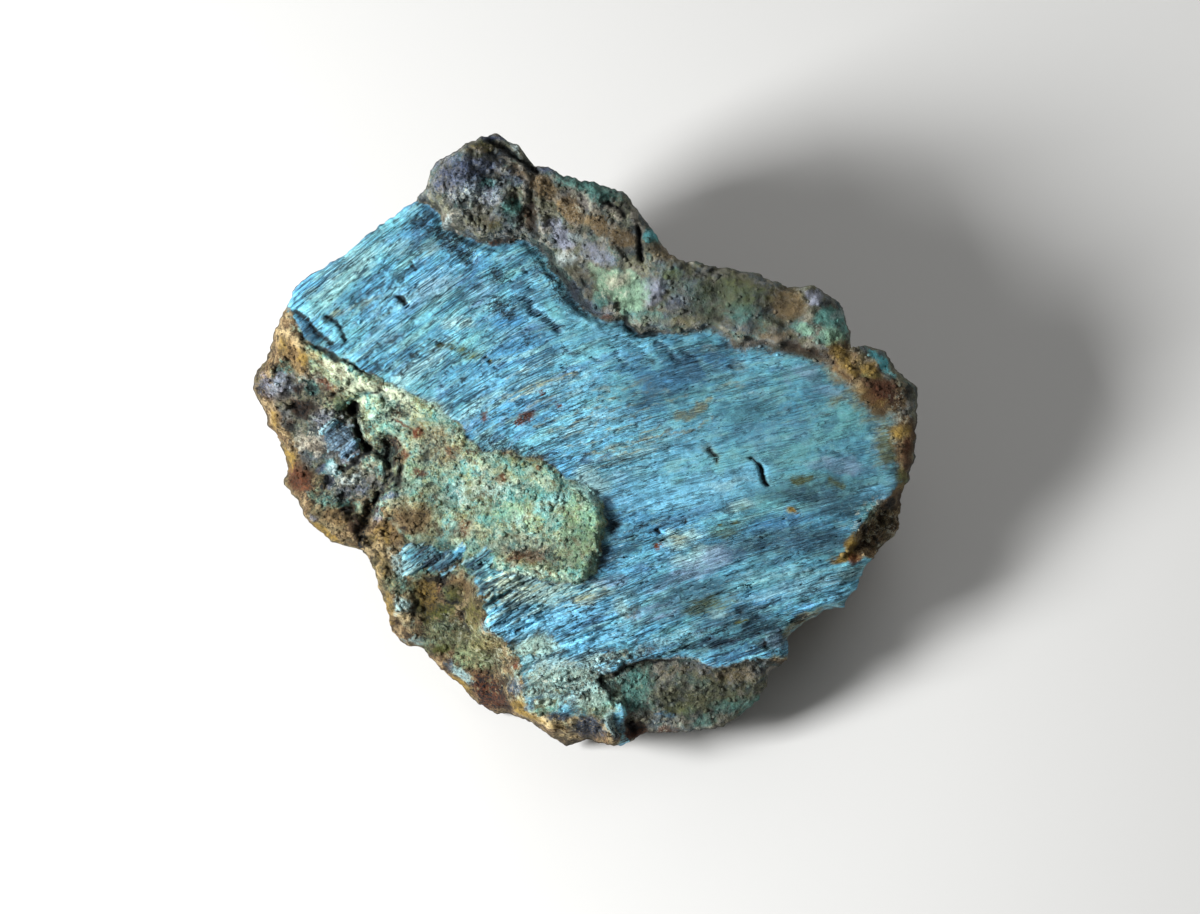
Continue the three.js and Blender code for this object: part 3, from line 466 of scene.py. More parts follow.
def face_height(u, v):
    """Height w of the face over (u, v): the vein, then what the ridge, crust, blocks, marks and humps do to
    it."""
    U, V, zones = face_zones(u, v)
    ridge, crust, low, cliff = (zones[name] for name in ("ridge", "crust", "low", "cliff"))
    blocks = fibrous_blocks(U, V, 0)
    fibres = 1 - np.maximum.reduce([ramp(-0.4, 0.4, depth) for depth in (ridge, crust, low, cliff)])
    w = vein_plane(u, v) + fibre_relief(u, v) * (0.15 + 0.85 * np.maximum(fibres, blocks))
    w = w + 0.35 * blocks * comb(u, v)
    w = w + ridge_height(u, v, ridge) + crust_height(u, v, crust) + rough_rock(u, v, zones)
    stray = jag(u, v)
    for strokes in STROKES.values():
        for line, width, _, depth in strokes:
            w = w - depth * np.exp(-(line_distance(U + stray, V - stray, line) / width) ** 2)
    for corners, height, fibrous in BLOCKS:
        w = w + height * ramp(-0.1, 0.3, block_depth(U, V, corners, fibrous))
    for at_u, at_v, length, width, height in HUMPS:
        w = w + height * hump(U, V, (at_u, at_v), (length, width))
    w = w - 1.1 * ramp(-11.5, -2, v) * cleft_share(U, V, stray, 0.42)
    w = w - (0.9 * ramp(-0.1, 0.5, low) + 0.24 * np.maximum(0, low)) * (low > -0.1)
    return w - 2.6 * ramp(-0.1, 1.6, cliff)


def place(u, v, w):
    """A point of the face's frame in the specimen's: turned by the face's tilt about X, and lifted."""
    c, s = np.cos(FACE_TILT), np.sin(FACE_TILT)
    return np.stack([u, v * c - w * s, v * s + w * c + CENTRE_HEIGHT], -1)


def face_grid():
    """A square grid bent smoothly onto the outline: (a, b) goes to (a sqrt(1 - b^2/2), b sqrt(1 - a^2/2)),
    and out to the outline's radius, whose chips fade with the sixth power of the way to the rim."""
    a, b = np.meshgrid(*[np.linspace(-1, 1, FACE_CELLS + 1)] * 2, indexing="ij")
    x, y = a * np.sqrt(1 - b * b / 2), b * np.sqrt(1 - a * a / 2)
    share, theta = np.hypot(x, y).ravel(), np.arctan2(y, x).ravel()
    soft, chipped = soft_radius(theta), chipped_radius(theta)
    radius = share * (soft + (chipped - soft) * share ** 6)
    u, v = radius * np.cos(theta), radius * np.sin(theta)
    roll = np.clip(1 - (1 - share) * chipped / ROLL_WIDTH, 0, 1)
    w = face_height(u, v) - ROLL_DROP * (1 - np.sqrt(1 - roll * roll))
    return share, theta, soft, u, v, w


# The walls' foot: its reach as a share of the outline's, less the pull at the rear, and its depth.
FOOT_REACH, FOOT_REAR_PULL, FOOT_SINK = 0.92, 0.34, 0.8
# They swell away from a core, more at the rear and less up and down, and in full where they are tall.
WALL_CORE = np.array([0, 4, 12.0])
WALL_SWELL, REAR_SWELL, LEVEL_SWELL = -1.2, 4.2, 0.3
TALL_WALL = 16
WALL_INSET = 0.4  # at least, inside the outline
# Shares of the way down where the rim's chips end, the lumps are whole, and the foot starts to tuck in.
CHIP_FADE, LUMP_FADE, TUCK_FROM = 0.2, 0.25, 0.7
TUCK_SHARE = 0.12


def fine_lumps(p):
    """The walls' facets and lumps from 2 mm down to 0.5 mm."""
    return 0.9 * facets(0.5 * p, 45) + 0.45 * facets(1.1 * p, 46) + 0.15 * noise(1.8 * p, 47)


def lumps(p):
    """How far broken lumps stand out of the walls: a swell, facets of 10 mm and 5 mm, and finer ones."""
    coarse = 1.5 * noise(0.08 * p, 41) + 4.5 * facets(0.1 * p + 0.3, 42) + 2.6 * facets(0.2 * p, 43)
    return coarse + 0.5 * noise(0.5 * p, 44) + fine_lumps(p)


def rolling_mean(x, share):
    """Each row averaged over a share of the way round on either side, with weights 1 + cos."""
    reach = round(len(x) * share)
    steps = range(-reach, reach + 1)
    weights = [1 + np.cos(np.pi * k / (reach + 1)) for k in steps]
    return sum(w * np.roll(x, -k, 0) for w, k in zip(weights, steps)) / sum(weights)


def wall_points(theta, soft, rim, soft_top, down):
    """A row of the wall, a share `down` of the way from the rim to the underside: a straight line with a
    bulge and broken lumps on it, kept inside the outline and over the table."""
    c, s = np.cos(FACE_TILT), np.sin(FACE_TILT)
    reach = (FOOT_REACH - FOOT_REAR_PULL * ramp(-0.15, 1, np.sin(theta))) * soft
    foot_v = reach * np.sin(theta)
    foot = place(reach * np.cos(theta), foot_v, (-CENTRE_HEIGHT - FOOT_SINK - foot_v * s) / c)
    chips = (rim - soft_top) * max(0, 1 - down / CHIP_FADE) ** 2
    p = soft_top + (foot - soft_top) * down + chips
    out = (p - WALL_CORE) * [1, 1, LEVEL_SWELL]
    out = out / np.linalg.norm(out, axis=1, keepdims=True)
    swell = (WALL_SWELL + REAR_SWELL * ramp(0, 0.8, np.sin(theta))) * np.sin(np.pi * down ** 0.8)
    relief = lumps(p) * min(1, down / LUMP_FADE)
    p = p + out * ((swell + relief) * ramp(0, TALL_WALL, soft_top[:, 2]))[:, None]
    lift = p[:, 2] - CENTRE_HEIGHT
    v, w = p[:, 1] * c + lift * s, lift * c - p[:, 1] * s
    excess = np.hypot(p[:, 0], v) / (outline_radius(np.arctan2(v, p[:, 0])) - WALL_INSET)
    excess = np.maximum(1, excess)
    p = place(p[:, 0] / excess, v / excess, w)
    tuck = 1 - TUCK_SHARE * max(0, (down - TUCK_FROM) / (1 - TUCK_FROM)) ** 2
    p[:, :2] = WALL_CORE[:2] + (p[:, :2] - WALL_CORE[:2]) * tuck
    p[:, 2] = np.maximum(0, p[:, 2])
    return p


def join_rings(upper, lower):
    """Triangles between a ring of points and the next one down, which has as many points or half as
    many."""
    after = np.roll(lower, -1)
    if len(lower) == len(upper):
        return np.concatenate([np.stack([upper, lower, after], 1),
                               np.stack([upper, after, np.roll(upper, -1)], 1)])
    a, middle, b = upper[::2], upper[1::2], np.roll(upper[::2], -1)
    return np.concatenate([np.stack(corners, 1) for corners in (
        (a, lower, middle), (middle, lower, after), (middle, after, b))])


def specimen_skin():
    """Points and triangles of the closed skin, and for each point its (u, v) on the face: the bent grid,
    then rows of wall, then rings that close the underside."""
    share, theta, soft, u, v, w = face_grid()
    points, face_uv = [place(u, v, w)], [np.stack([u, v], 1)]
    i, j = np.meshgrid(np.arange(FACE_CELLS), np.arange(FACE_CELLS), indexing="ij")
    side = FACE_CELLS + 1
    a, b, c, d = (i * side + j + step for step in (0, side, side + 1, 1))
    along = (i + 0.5 - FACE_CELLS / 2) * (j + 0.5 - FACE_CELLS / 2) > 0
    triangles = [np.stack(corners, -1)[keep] for corners, keep in (
        ((a, b, c), along), ((a, c, d), along), ((a, b, d), ~along), ((b, c, d), ~along))]

    def add_ring(upper, p, uv):
        lower = sum(len(part) for part in points) + np.arange(len(p))
        points.append(p)
        face_uv.append(uv)
        triangles.append(join_rings(upper, lower))
        return lower

    border = np.flatnonzero(share > 1 - 1e-9)
    border = border[np.argsort(theta[border])]
    rim = points[0][border]
    soft_top = place(*rolling_mean(np.stack([u, v, w], 1)[border], 0.025).T)
    ring = border
    rows = UPPER_WALL_ROWS + LOWER_WALL_ROWS
    for row in range(1, rows + 1):
        pick = slice(None, None, 2 if row > UPPER_WALL_ROWS else 1)
        down = (row / rows) ** 1.15
        p = wall_points(theta[border][pick], soft[border][pick], rim[pick], soft_top[pick], down)
        ring = add_ring(ring, p, face_uv[0][border][pick])
    edge = points[-1]
    middle = edge.mean(0)
    for row in range(1, UNDERSIDE_ROWS + 1):
        if row in THINNED_ROWS:
            edge = edge[::2]
        inwards = edge + (middle - edge) * (row / (UNDERSIDE_ROWS + 1))
        hollow = np.maximum(0, 1.4 * facets(0.16 * inwards, 48) + 0.5 * noise(0.4 * inwards, 49) - 0.05)
        p = inwards * [1, 1, 0] + hollow[:, None] * [0, 0, 1]
        ring = add_ring(ring, p, p[:, :2])
    points.append((middle * [1, 1, 0])[None])
    face_uv.append(middle[None, :2])
    triangles.append(np.stack([ring, np.full(len(ring), ring[-1] + 1), np.roll(ring, -1)], 1))
    return np.concatenate(points), np.concatenate(triangles), np.concatenate(face_uv)


def make_mesh(name, points, triangles):
    """A mesh object in metres from arrays of points in millimetres and of triangles."""
    mesh = bpy.data.meshes.new(name)
    mesh.vertices.add(len(points))
    mesh.vertices.foreach_set("co", ((points - MIDDLE) * MM).astype(np.float32).ravel())
    mesh.loops.add(triangles.size)
    mesh.loops.foreach_set("vertex_index", triangles.astype(np.int32).ravel())
    mesh.polygons.add(len(triangles))
    mesh.polygons.foreach_set("loop_start", np.arange(0, triangles.size, 3, dtype=np.int32))
    mesh.update(calc_edges=True)
    mesh.validate()
    piece = bpy.data.objects.new(name, mesh)
    bpy.context.scene.collection.objects.link(piece)
    return piece


def give_uv(piece, name, uv):
    """A UV map from one pair for each point."""
    layer = piece.data.uv_layers.new(name=name)
    corner = np.empty(len(piece.data.loops), np.int32)
    piece.data.loops.foreach_get("vertex_index", corner)
    layer.data.foreach_set("uv", uv[corner].astype(np.float32).ravel())


# Where the surface takes on another colour: place, half-length, half-width, turn in degrees and strength.
# The shade stain and parts of the navy and near-black ones are painted shade.
STAINS = {
    "sky": [
        (12, -4.6, 7, 1.7, 15, 0.9), (14.3, -5.6, 3, 1, 15, 0.7), (5.4, -4.8, 4, 1.4, 20, 0.7),
        (5, -14.6, 3, 1.2, 15, 0.5), (-1, -24.4, 4, 1.6, 0, 0.4), (10, -10, 3, 1.2, 15, 0.8),
        (1, 1.6, 6, 2.2, 20, 0.7), (-6.5, 6, 4, 1.4, 26, 0.5), (-5.4, 14.6, 2.4, 1.4, -20, 0.5),
        (-18, 14.6, 5.5, 2.2, 38, 0.5), (-11, 5.6, 4, 1.2, 32, 0.5), (-3, -17.4, 5.5, 1.6, 14, 0.8),
        (1, -19.6, 4.6, 1.2, 14, 0.7), (-7.4, -18, 2.8, 1.2, 14, 1), (-8.8, -16.8, 1, 0.5, 14, 0.9),
        (-0.6, 12.8, 2.2, 0.9, -35, 0.5), (3, 10.4, 2.6, 1, -25, 0.6), (10.5, 10.6, 2.2, 0.5, 0, 0.6),
        (29.6, -4.7, 2.5, 0.45, 22, 1), (25.4, -15.5, 1.3, 0.6, 15, 0.9), (9, 0.2, 6, 1.2, 16, 0.5),
        (3, -22, 2, 0.6, 10, 0.3), (-2.4, 3, 4, 1, 24, 0.5), (8, -1.6, 6, 1, 16, 0.6),
        (29.8, 8.2, 1.9, 0.45, -37, 1), (6.7, 20.4, 1.1, 0.6, -10, 0.7), (-3, -6, 2.4, 1.2, 20, 0.5),
        (-10.4, 25.2, 2.2, 1.6, 0, 0.3), (-5, 13, 1.8, 1, -30, 0.7), (-6.4, -7.6, 1.6, 1, 0, 0.5),
        (-1.4, -9.4, 1, 1.8, 0, 0.4), (-9, -4.6, 1.8, 0.9, 0, 0.5), (-12.4, -5, 1.2, 1.6, 0, 0.5),
        # (0.8, -4.6) is painted light over the shadow at the tip of the crust's tongue.
        (0.8, -4.6, 1.8, 1.4, -40, 0.9), (0, 5, 3.4, 1.4, 24, 0.5), (3.6, 0.4, 6, 2.2, 18, 0.4),
        (0, -16.8, 6.5, 3, 14, 0.35), (5.6, 9.8, 2, 1, -20, 0.4), (0.6, -24.8, 1.6, 0.9, 0, 0.6),
        (3.4, -27, 0.9, 0.6, 0, 0.7), (-25.9, -2.9, 1.2, 0.8, -15, 0.9), (-24.2, 0.2, 1.6, 1.9, 0, 0.5)],
    "deep": [
        (11, 8, 4, 1.7, 5, 0.8), (5.5, 7.6, 3, 1.6, -25, 0.6), (9.5, 6.4, 4.5, 1.6, 12, 0.8),
        (-10.5, 16.6, 3.6, 1.6, 30, 0.5), (-8, 12.4, 3.4, 1.8, 20, 0.6), (-5.6, 10.6, 4, 1.4, 20, 0.5),
        (6.3, 3.6, 2.6, 1.6, 15, 0.55), (19, -8.3, 3.4, 0.9, 10, 0.8), (13, -10.6, 3.6, 1.2, 16, 0.5),
        (15.4, -21.3, 3.9, 0.85, 6, 0.7), (5, -7, 3.2, 1, 20, 0.5), (-18.6, 11.6, 3.6, 1.4, 38, 0.4),
        (-12.6, 5.4, 2.2, 1.4, 30, 0.4), (-1, -18.4, 4, 0.8, 14, 0.6), (1.6, -16.2, 4, 1, 18, 0.5),
        (-27.8, 11.4, 1.6, 0.9, -40, 0.8), (8.2, -27.6, 1.4, 0.35, 5, 0.8), (6, -12.6, 2.6, 0.9, 22, 0.6),
        (17, -15.9, 2.4, 0.5, 14, 0.7), (-5.2, -26.4, 0.7, 0.4, 0, 0.9), (22.3, -10, 3, 0.8, 8, 0.4)],
    # Navy patches: the vein's own dark blue, painted shadow beside the crust's tongue from (2.4, -6.4) to
    # (5.4, -10.6), and painted shade at the ridge's foot near (0, 14.5).
    "navy_and_shade": [
        (-8.5, 16.6, 0.6, 0.45, 0, 1), (-8.7, 13.9, 0.7, 0.5, 0, 0.9), (-7.7, 12.5, 1, 0.45, -20, 0.8),
        (-9, 13.1, 0.35, 0.3, 0, 0.8), (-10.3, 15.4, 0.5, 0.4, 0, 0.6), (-14.9, 21.2, 0.8, 0.5, 0, 0.8),
        (-15.6, 20.6, 0.5, 0.4, 0, 0.7), (-16.4, 22.2, 0.9, 0.6, 40, 0.9),
        (-6.4, 10.5, 0.25, 0.5, 20, 0.7), (-5.8, 9.8, 0.3, 0.3, 0, 0.7), (-3.6, 9.4, 0.9, 0.7, -30, 0.5),
        (2.4, -6.4, 0.6, 1.2, 15, 0.9), (2.9, -8.4, 0.9, 1, 20, 0.9), (2.6, -11.4, 1.5, 1.4, 25, 0.85),
        (3.8, -10, 2, 1, 25, 0.4), (5.4, -10.6, 1.8, 0.5, 30, 0.6), (16.4, -10.8, 2, 0.6, 5, 0.7),
        (15.2, -11.6, 1, 0.9, 0, 0.5), (22.5, -9.6, 3.4, 0.6, 5, 0.5), (9, 9, 2.2, 0.9, -40, 0.5),
        (0.5, -28.5, 1.9, 1.3, 0, 1), (-2.3, -27.4, 1.5, 0.4, 0, 0.8), (-1.1, 15, 1, 0.8, -45, 0.8),
        (0.6, 13.9, 1.5, 0.7, -35, 0.6), (17.2, -18.9, 2.2, 0.4, 12, 0.7),
        (15.4, -21.4, 3.6, 0.6, 6, 0.5), (-22.3, -4.3, 2.4, 0.8, 15, 0.5),
        (-19.3, -5.5, 1.3, 0.5, 20, 0.9), (-26.8, -2.5, 0.5, 0.6, 0, 0.9),
        (-26.2, -4.3, 0.6, 0.7, 0, 0.9), (-14.2, -12.2, 1.6, 1, 35, 0.6),
        (-10.5, -12.8, 1.8, 0.5, 30, 0.4), (-32.8, 5.6, 0.9, 0.6, 0, 0.7),
        (-11.5, 26.8, 3.6, 1.7, 15, 0.7), (-7.2, 26.4, 1.6, 1.2, -20, 0.5), (-9, 30.4, 1.6, 0.4, 0, 0.8),
        (-3.4, 27.2, 0.9, 0.7, 0, 0.7), (9.2, 13.5, 1.2, 0.9, 0, 0.5), (7.4, 15, 1.3, 1.4, 0, 0.3),
        (3, 17.9, 1.6, 0.8, -20, 0.3), (-6.7, -24.5, 1.1, 0.8, 0, 0.8), (-13.7, -22.6, 0.6, 0.5, -45, 0.7)],
    "slate": [
        (20, -9.6, 6, 1.6, 8, 0.8), (16, -11, 4.5, 1, 12, 0.8), (24.5, -10, 2.6, 1.6, 5, 0.8),
        (25.5, -6.4, 2.6, 1.4, 0, 0.7), (22, -5, 3.4, 0.9, 8, 0.7), (8, 4.6, 4, 1.4, 12, 0.6),
        (10.4, 7.4, 3.4, 2.2, -10, 0.5), (10.5, -15.2, 5.4, 1.1, 18, 0.9),
        (8.5, -17.4, 4.8, 0.7, 15, 0.7), (15, -17.4, 4.6, 1, 12, 0.9), (25.4, -5.2, 2.4, 1.2, 0, 0.3),
        (18, -18.4, 2.4, 0.8, 10, 0.8), (14, -20, 5.4, 0.5, 10, 0.8), (5, -20.8, 5, 0.6, 14, 0.6),
        (7.5, -21.5, 3.6, 0.5, 0, 0.7), (-13, 20.6, 2.4, 1, -35, 0.5), (28.6, -3.2, 2.2, 0.8, 10, 0.5),
        (3.4, -10, 3, 1.8, 25, 0.4), (23, -12.6, 2.4, 0.7, 10, 0.5), (6.6, -8.4, 4, 0.7, 20, 0.5),
        (-16, -11.6, 3, 1.5, 35, 0.55), (-10.6, -12, 2, 1.2, 28, 0.45), (-24.2, 0.4, 1.6, 2, 0, 0.5),
        (-5.5, 17.6, 1.8, 1.2, -40, 0.5), (-27.6, 11.2, 1.4, 0.8, -40, 0.7)],
    "teal": [
        (-25, 14.6, 6, 2.6, 38, 0.5), (-20, 9.6, 5, 2, 36, 0.35), (-16, 6.4, 4, 1.4, 36, 0.4),
        (-10.5, 9.8, 4, 1.6, 28, 0.5), (-3.2, 13.4, 1.8, 1, -20, 0.7), (22, -1.5, 7, 3, 10, 0.4),
        (26, 2.4, 4, 2.6, 0, 0.6), (17, 3, 4, 1.6, 12, 0.4), (21.6, -4.8, 2.4, 0.8, 5, 0.7),
        (13.6, -8.7, 2, 1.2, 10, 0.6), (18.4, -6.4, 2.6, 0.7, 8, 0.5), (6, 12.6, 3.4, 0.8, -15, 0.6),
        (1.6, 14.2, 0.9, 0.8, 0, 0.8), (15.8, 13, 2, 1.6, 0, 0.6), (24.5, 12.3, 1.6, 1.1, -15, 1),
        (24.8, 10.6, 1.9, 1, 0, 0.8), (21.8, 11.4, 1.4, 0.8, 0, 0.6), (26, 11, 0.8, 1, 0, 0.7),
        (0.4, 25.4, 4, 1.2, -15, 0.8), (13, 14.6, 5, 2, -8, 0.4), (10, 5, 3.4, 1.4, 15, 0.6),
        (-7.3, 23.4, 1.4, 1, 0, 0.8), (-9.5, 25.4, 0.8, 0.5, 0, 0.8), (6.8, 20.3, 1.1, 0.7, -10, 1),
        (29.8, 8.2, 1.9, 0.45, -37, 0.9), (28.6, -7, 1.4, 1.2, -40, 0.7), (8, 17, 1.6, 0.9, -10, 0.3),
        (-2.6, -5.2, 2.2, 1.6, 20, 0.5), (-10, -6.4, 3, 2, 0, 0.4), (-13, -5.6, 1.1, 1.2, 0, 0.7),
        (-15.6, -1.2, 0.5, 1.1, 10, 1), (-16.2, 2.4, 0.8, 0.3, 0, 0.9), (-21, 1.6, 1.1, 1, 0, 0.6),
        (-16.6, -5, 1.2, 1.4, 0, 0.5), (-14.4, -18.7, 1.3, 0.8, 0, 0.8), (-13.4, -15, 0.8, 0.8, 0, 0.8),
        (-15.6, -11.6, 3.4, 2.2, 35, 0.7), (-10.6, -12, 2.4, 1.8, 28, 0.7),
        (-19, -14.2, 1.3, 1.2, 0, 0.7), (-29.6, 7.6, 1.4, 0.8, 0, 0.6), (-27.4, 5.6, 0.7, 0.6, 0, 0.8),
        (17, -26.2, 2, 1, 30, 0.7), (12, -28, 1.5, 0.7, 0, 0.6), (-4, -9.6, 1.6, 0.6, 0, 0.6),
        (-12.6, -22.4, 0.9, 1.2, -40, 0.5), (5, -24.8, 2, 2.2, 0, 0.9), (14.6, -26.6, 2, 1, 20, 0.7),
        (11.4, -24, 1.6, 0.8, 0, 0.5), (-25.4, -6, 2.4, 0.5, -10, 0.6)],
    "pale": [
        (-14.5, 3.4, 3, 0.6, -32, 0.7), (-16.5, 7.4, 4.6, 1.2, 36, 0.6), (-11.8, 11.8, 1.2, 0.6, 0, 0.8),
        (-13.4, 12.2, 1.4, 0.6, 20, 0.7), (-13.4, 21.8, 0.7, 1, 0, 0.7), (-15.4, 19.4, 1.2, 0.8, 20, 0.6),
        (-24, 16.6, 5, 1.4, 38, 0.6), (-15.6, 15.4, 3.6, 1.2, 36, 0.5), (-20.6, 18.6, 3.4, 1, 38, 0.2),
        (-18.4, 19.4, 1.6, 1, 30, 0.5), (-14.5, 14.6, 2.2, 0.6, 38, 0.4), (-4.6, 5.6, 3, 0.9, 24, 0.5),
        (-8.5, 10.2, 3, 0.7, 20, 0.3), (-2, 5.8, 4.4, 0.5, 24, 0.4), (-10.4, 3.6, 3.5, 0.7, 30, 0.5),
        (-4.6, 7.8, 2.4, 0.7, 26, 0.5), (0, 1.6, 4, 0.8, 20, 0.4), (4.6, -1.2, 5, 0.6, 18, 0.5),
        (3, -3.2, 4, 0.6, 18, 0.4), (15.6, -6.4, 2, 0.6, 10, 0.8), (14.4, -4.2, 2.4, 0.6, 12, 0.6),
        (9.8, -9.7, 2.2, 1.1, 15, 0.9), (11.4, -11.4, 2.8, 0.8, 15, 0.8), (3.6, -16.8, 0.8, 1.3, 20, 0.8),
        (4.4, -15.4, 1.4, 0.8, 30, 0.5), (-4.4, -15.4, 3.6, 1.2, 12, 0.8), (-6.8, -14, 2.6, 1, 15, 0.9),
        (18.6, -13.4, 4.6, 0.7, 10, 0.4), (-2, 18.2, 1.2, 1, 0, 0.6), (8, 16.2, 1.2, 0.8, 0, 0.4),
        (22, -14.5, 4.6, 1, 10, 0.4), (13.4, -17, 1.2, 0.6, 20, 0.7), (8.5, -19.4, 3, 0.5, 14, 0.5),
        (26.5, -13, 1.6, 0.6, 10, 0.7), (19, -15.2, 3, 0.4, 12, 0.5), (-20.8, 5.2, 3.8, 0.9, -3, 0.6),
        (-2, -23.4, 5, 1.6, 8, 0.7), (-5, -20.2, 2.2, 1.2, 0, 0.9), (-3, -25.8, 2.4, 0.7, 0, 0.5),
        (-1.5, -21.9, 5, 0.8, 5, 0.8), (2.7, -28, 0.6, 1.6, 15, 1), (0.6, -25.2, 2.4, 1.5, 0, 0.9),
        (-25.8, -2.9, 0.8, 0.7, -15, 0.9), (-22.7, -3.4, 0.7, 0.5, 20, 0.9),
        (-24.2, -3.9, 0.8, 0.5, 10, 0.8), (-18.8, -2.5, 0.3, 0.5, 0, 0.9),
        (-18.4, -16.6, 0.9, 1, 30, 0.9), (-16.8, -20.1, 1.7, 0.6, 0, 0.7),
        (-12.4, -23.6, 0.5, 1.7, 50, 0.9), (-18.4, -12.4, 1.5, 1.6, 0, 0.7),
        (-9.8, -11, 1.4, 0.4, 30, 0.6), (-8.6, -14.2, 2, 0.9, 15, 0.6), (-7, 29.4, 1, 0.4, -30, 0.8),
        (31.4, 2.6, 1.1, 0.8, 0, 0.3), (4.4, 15, 0.8, 0.7, 0, 0.7), (-10.2, 0.7, 1.8, 0.8, -25, 0.4),
        (-0.9, 20.3, 0.7, 0.5, -30, 0.7), (-11.2, 24.2, 1, 0.7, 0, 0.6), (25.4, 12.6, 1, 0.5, 0, 0.5),
        (-24.7, -5.9, 0.8, 0.3, 0, 0.7), (-13.6, -8.6, 2, 1.2, 10, 0.3), (-21.4, 2.4, 0.8, 0.5, 0, 0.6),
        # (0.7, -4) is painted light over the shadow at the tip of the crust's tongue.
        (-1.6, -10.6, 1.6, 1.6, 0, 0.3), (0.7, -4, 2, 1.4, -30, 0.8), (-20.4, 10.4, 3, 1.2, 38, 0.4)],
    "cream": [
        (-22.4, 5.3, 2.4, 0.8, -3, 1), (-19.4, 4.8, 1.8, 0.6, -20, 0.8), (-24.6, 7.2, 2.4, 0.8, -30, 0.9),
        (-30.4, 10.6, 0.8, 2, 15, 0.6), (-28.4, 9.6, 1.4, 0.8, -30, 0.6), (0.5, -15.6, 1.7, 0.7, 5, 0.7),
        (-4.6, -15, 4.4, 1.2, 12, 0.5), (0.2, -15.2, 3, 1, 10, 0.5), (-7, -14, 2, 0.7, 20, 0.5),
        (-4.4, -27.8, 1.6, 0.5, -30, 0.9), (-1.6, -29.6, 1.6, 0.7, 0, 0.6), (31.2, 2.3, 1.4, 0.9, 0, 0.3),
        (-8.6, -2.8, 1.8, 0.7, -10, 0.5), (-4.4, -4, 1.8, 0.6, -20, 0.5), (-10.6, -9, 2, 0.9, 0, 0.4),
        (-6, -9.6, 2.2, 0.6, -10, 0.5), (-17.2, 3.2, 1.6, 0.5, -28, 0.6), (-27.6, -0.2, 1.7, 0.9, 0, 0.7),
        (9.4, -9.6, 0.9, 0.5, 10, 0.8), (20.4, -7, 0.25, 0.4, 0, 0.9), (-25.4, -8.6, 1.8, 0.7, -30, 0.5),
        (3.4, 15.9, 1.4, 0.7, 0, 0.6), (-22.4, 3.6, 0.5, 0.8, 0, 0.7), (0.2, 24, 1.3, 0.7, -30, 0.6),
        (1.4, 23, 0.8, 0.5, -30, 0.6), (-18.2, -17.8, 0.8, 0.5, 0, 0.7), (-9.6, -20.5, 1.4, 0.6, 0, 0.4),
        (-4.6, 5.4, 4.4, 0.25, 24, 0.6), (-1, 2, 0.8, 0.3, 20, 0.4), (22.4, -17.5, 1.8, 0.3, 30, 0.8),
        (20.2, -18.8, 0.8, 0.4, 40, 0.7)],
    "lilac": [
        (22.4, 7.2, 1.8, 0.9, -15, 0.7), (24.6, 5.2, 2, 0.7, -10, 0.6), (20.4, 6.6, 0.7, 1.2, 0, 0.5),
        (26, -2.3, 2.6, 1, -12, 1), (23.6, -2, 1.6, 0.6, 0, 0.6), (-14.6, 15.6, 3.4, 1.2, 30, 0.5),
        (-10.4, 14.6, 2.4, 1, 30, 0.5), (-4.6, 11.4, 2.4, 0.8, 20, 0.4), (2, 13, 1.4, 0.6, -30, 0.4),
        (12, -12.2, 4.4, 1.1, 22, 1), (6, -16.8, 3, 0.8, 16, 0.5), (8.2, -14, 2.4, 0.6, 25, 0.6),
        (2.4, -14, 2.2, 0.7, 8, 0.8), (8, -17.2, 1.8, 0.3, 15, 0.7), (15.2, -15.2, 1.2, 0.4, 10, 0.4),
        (18.9, -19.6, 1.4, 0.8, 15, 0.9), (13, -18.4, 1.4, 0.5, 0, 0.5), (24.5, -14.2, 2, 0.5, 15, 0.4),
        (-2, 20.4, 1.3, 1, -20, 1), (-2.8, 21.8, 1.1, 0.8, 0, 0.6), (1.4, 18.6, 1.8, 1, -20, 0.6),
        (0.2, 24, 1.2, 0.8, -30, 0.6), (7, 15, 1.5, 1.5, 0, 0.7), (9.6, 14.2, 1.2, 0.8, 0, 0.5),
        (22.8, 14.8, 1.1, 0.8, 0, 0.8), (-11.6, 25.4, 2.2, 1.6, 0, 0.5), (-13.8, 27.6, 1.4, 1.2, 30, 0.4),
        (-6.4, 22, 0.9, 1.2, 0, 0.3), (-31, 5.6, 2.2, 1.4, 0, 0.6), (-26.4, 2.4, 1.2, 1.2, 30, 0.6),
        (-20.8, -7.4, 0.7, 0.9, 0, 0.7), (-24.4, 0.2, 1.8, 2.2, 0, 1), (-10.2, 24.6, 2.2, 1.5, 0, 0.7),
        (-23.4, -4.8, 1.8, 0.6, 15, 0.5), (-27.4, -7.5, 0.5, 0.4, 0, 0.7), (-6.6, -24.6, 1.1, 0.8, 0, 0.5)],
    "green": [
        (2.5, 15.8, 1.6, 1.1, 10, 0.9), (4.5, 15.1, 1.4, 1.6, 0, 0.9), (3.9, 13.6, 0.7, 0.7, 0, 0.6),
        (-7, -7, 1.8, 1.1, 10, 0.6), (-0.4, -9.2, 2.2, 4.4, 0, 0.6), (-5, -8, 1.2, 1, 0, 0.4),
        (10.4, -26.6, 1, 0.6, 20, 0.5), (-11.2, -21.6, 2.6, 1.4, -20, 0.8),
        (-14.6, -19.6, 2.8, 1.8, 0, 0.8), (8.8, 16.6, 1, 0.6, 0, 0.5), (4.6, 14.6, 2, 1.6, 0, 1),
        (1.2, 17, 1.2, 0.6, -40, 0.6), (-12, -20, 3.4, 1.8, -20, 0.7), (28.4, 6.9, 0.7, 0.6, 0, 0.8),
        (-17, -3, 1, 1.4, 0, 0.5), (-25.4, 4.2, 0.9, 0.5, 0, 0.5), (18.6, 12.2, 1.6, 0.7, 0, 0.3),
        (22, 11.4, 1.2, 0.6, 0, 0.6), (25, 10.4, 1.6, 1, -20, 0.8)],
    "tan": [
